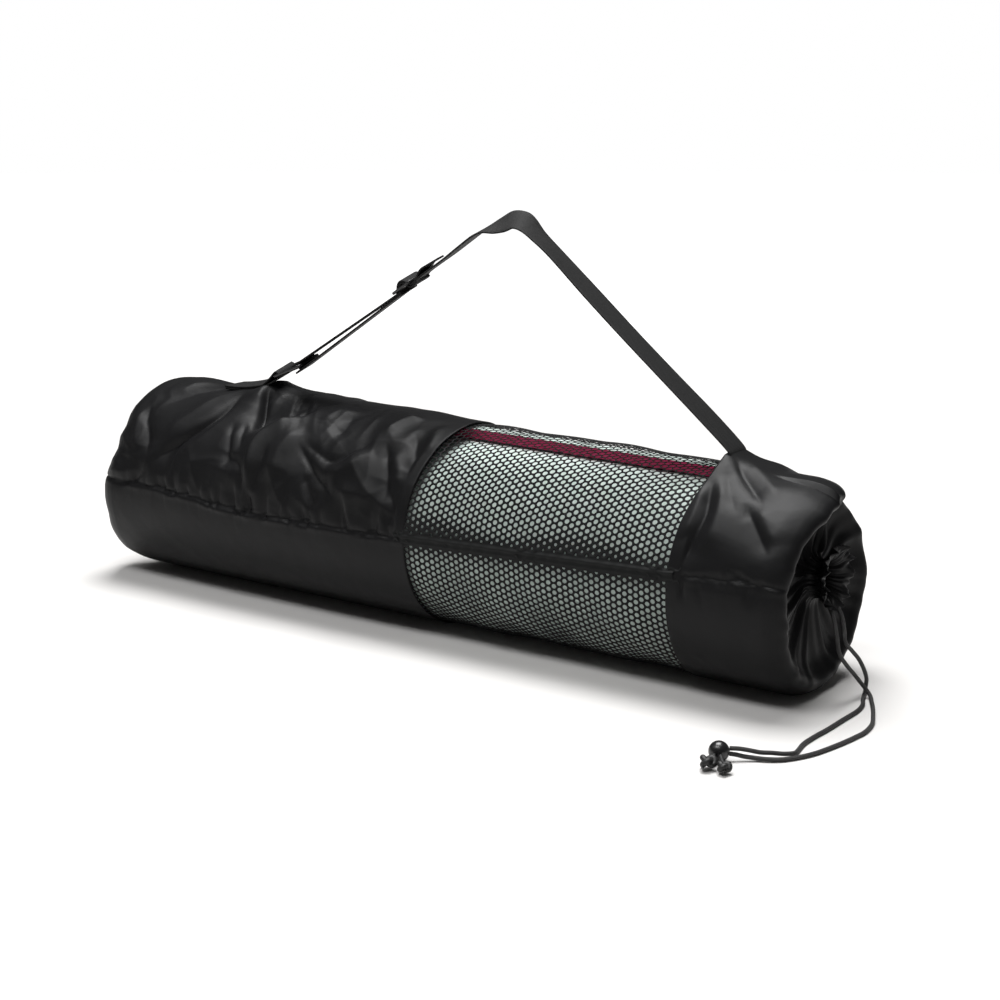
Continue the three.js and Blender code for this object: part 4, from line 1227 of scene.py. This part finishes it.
def knot(name, centre, node):
    """A tight knot with the end of the cord that runs to the lock, and its frayed tip."""
    radius = centre[2]
    thick = CORD_DIAMETER / 2
    packed = 1.35 * thick
    centre, lock = np.array(centre), np.array(LOCK_PLACE)
    turn = np.linspace(0, 2 * math.pi, 90, endpoint=False)
    loop = np.stack([
        np.sin(turn) + 2 * np.sin(2 * turn), np.cos(turn) - 2 * np.cos(2 * turn), -1.1 * np.sin(3 * turn),
    ], axis=-1)
    loop = centre + loop * (radius + 0.7 - packed) / 3.0
    rings = tube_rings(np.vstack([loop, loop[:1]]), packed, 14)[:-1]
    faces, _, _ = grid_faces(len(rings), 14, wrap_rows=True, wrap_columns=True)
    grids = [(rings, faces.tolist())]
    way = (lock - centre) / np.linalg.norm(lock - centre)
    strands = [([centre + way * 1.0, lock - way * 7.3], thick, 10)]
    for _ in range(16):
        out = -way + chance.normal(0, 0.35, 3) * 0.9 + np.array([0, 0, -0.15])
        out /= np.linalg.norm(out)
        long = 3.2 + 2.2 * chance.random()
        root = centre - way * (radius - 2.4) + chance.normal(0, 0.5, 3)
        path = np.array([root, root + out * long * 0.5, root + out * long + (0, 0, -0.4)])
        path[:, 2] = np.maximum(path[:, 2], 0.3)
        strands.append((path, np.array([0.28, 0.22, 0.05]), 5))
    for path, radii, sides in strands:
        faces, _, _ = grid_faces(len(path), sides, wrap_columns=True)
        grids.append((tube_rings(path, radii, sides), faces.tolist()))
    points, faces = joined(grids)
    points[:, 2] = np.maximum(points[:, 2], 0.02)
    return settle(add_mesh(name, points, faces, CORD), "black_cord", node)


def cord_lock():
    """A ball with a fine parting line."""
    steps = np.radians(np.linspace(-90, 90, 41))
    profile = LOCK_PLACE[2] - 0.12 * np.exp(-(np.degrees(steps) / 2.2) ** 2)
    turns = np.radians(np.arange(48) * 360 / 48)
    points = np.array([[
        (r * math.cos(a) * math.cos(t), r * math.cos(a) * math.sin(t), r * math.sin(a)) for t in turns
    ] for a, r in zip(steps, profile)]) + np.array(LOCK_PLACE)
    u, v = np.degrees(steps), np.arange(49) * 7.5
    piece = grid_piece("lock_ball", points, u, v, PLASTIC)
    merge_close(piece, 0.00001)
    return settle(piece, "black_plastic", "cord_lock")


def drawcord():
    lock = cord_lock()
    knot_one = knot("knot_one", BIG_KNOT, "knot_big")
    knot_two = knot("knot_two", SMALL_KNOT, "knot_small")
    for name, route, node, carried in (
        ("cord_inner", INNER_CORD, "drawcord_inner", [lock, knot_one]),
        ("cord_outer", OUTER_CORD, "drawcord_outer", [knot_two]),
    ):
        points = cord_points(route)
        path = even_path(smooth_path(points, 8), 1.2)
        u, v = lengths_along(path), np.arange(15) * (math.pi * CORD_DIAMETER / 14)
        rings = tube_rings(path, CORD_DIAMETER / 2, 14)
        piece = grid_piece(name, rings, u, v, CORD, ends=True)
        settle(piece, "black_cord", node)


add_camera()
add_world()
add_lights()
add_stage()
drawcord()
closed_panel()
mouth_panel()
net_half("net_upper", -1, "net_window")
net_half("net_lower", 1)
net_seam()
rolled_mat()
strap()
strap_tab()
strap_ring()
strap_slider()
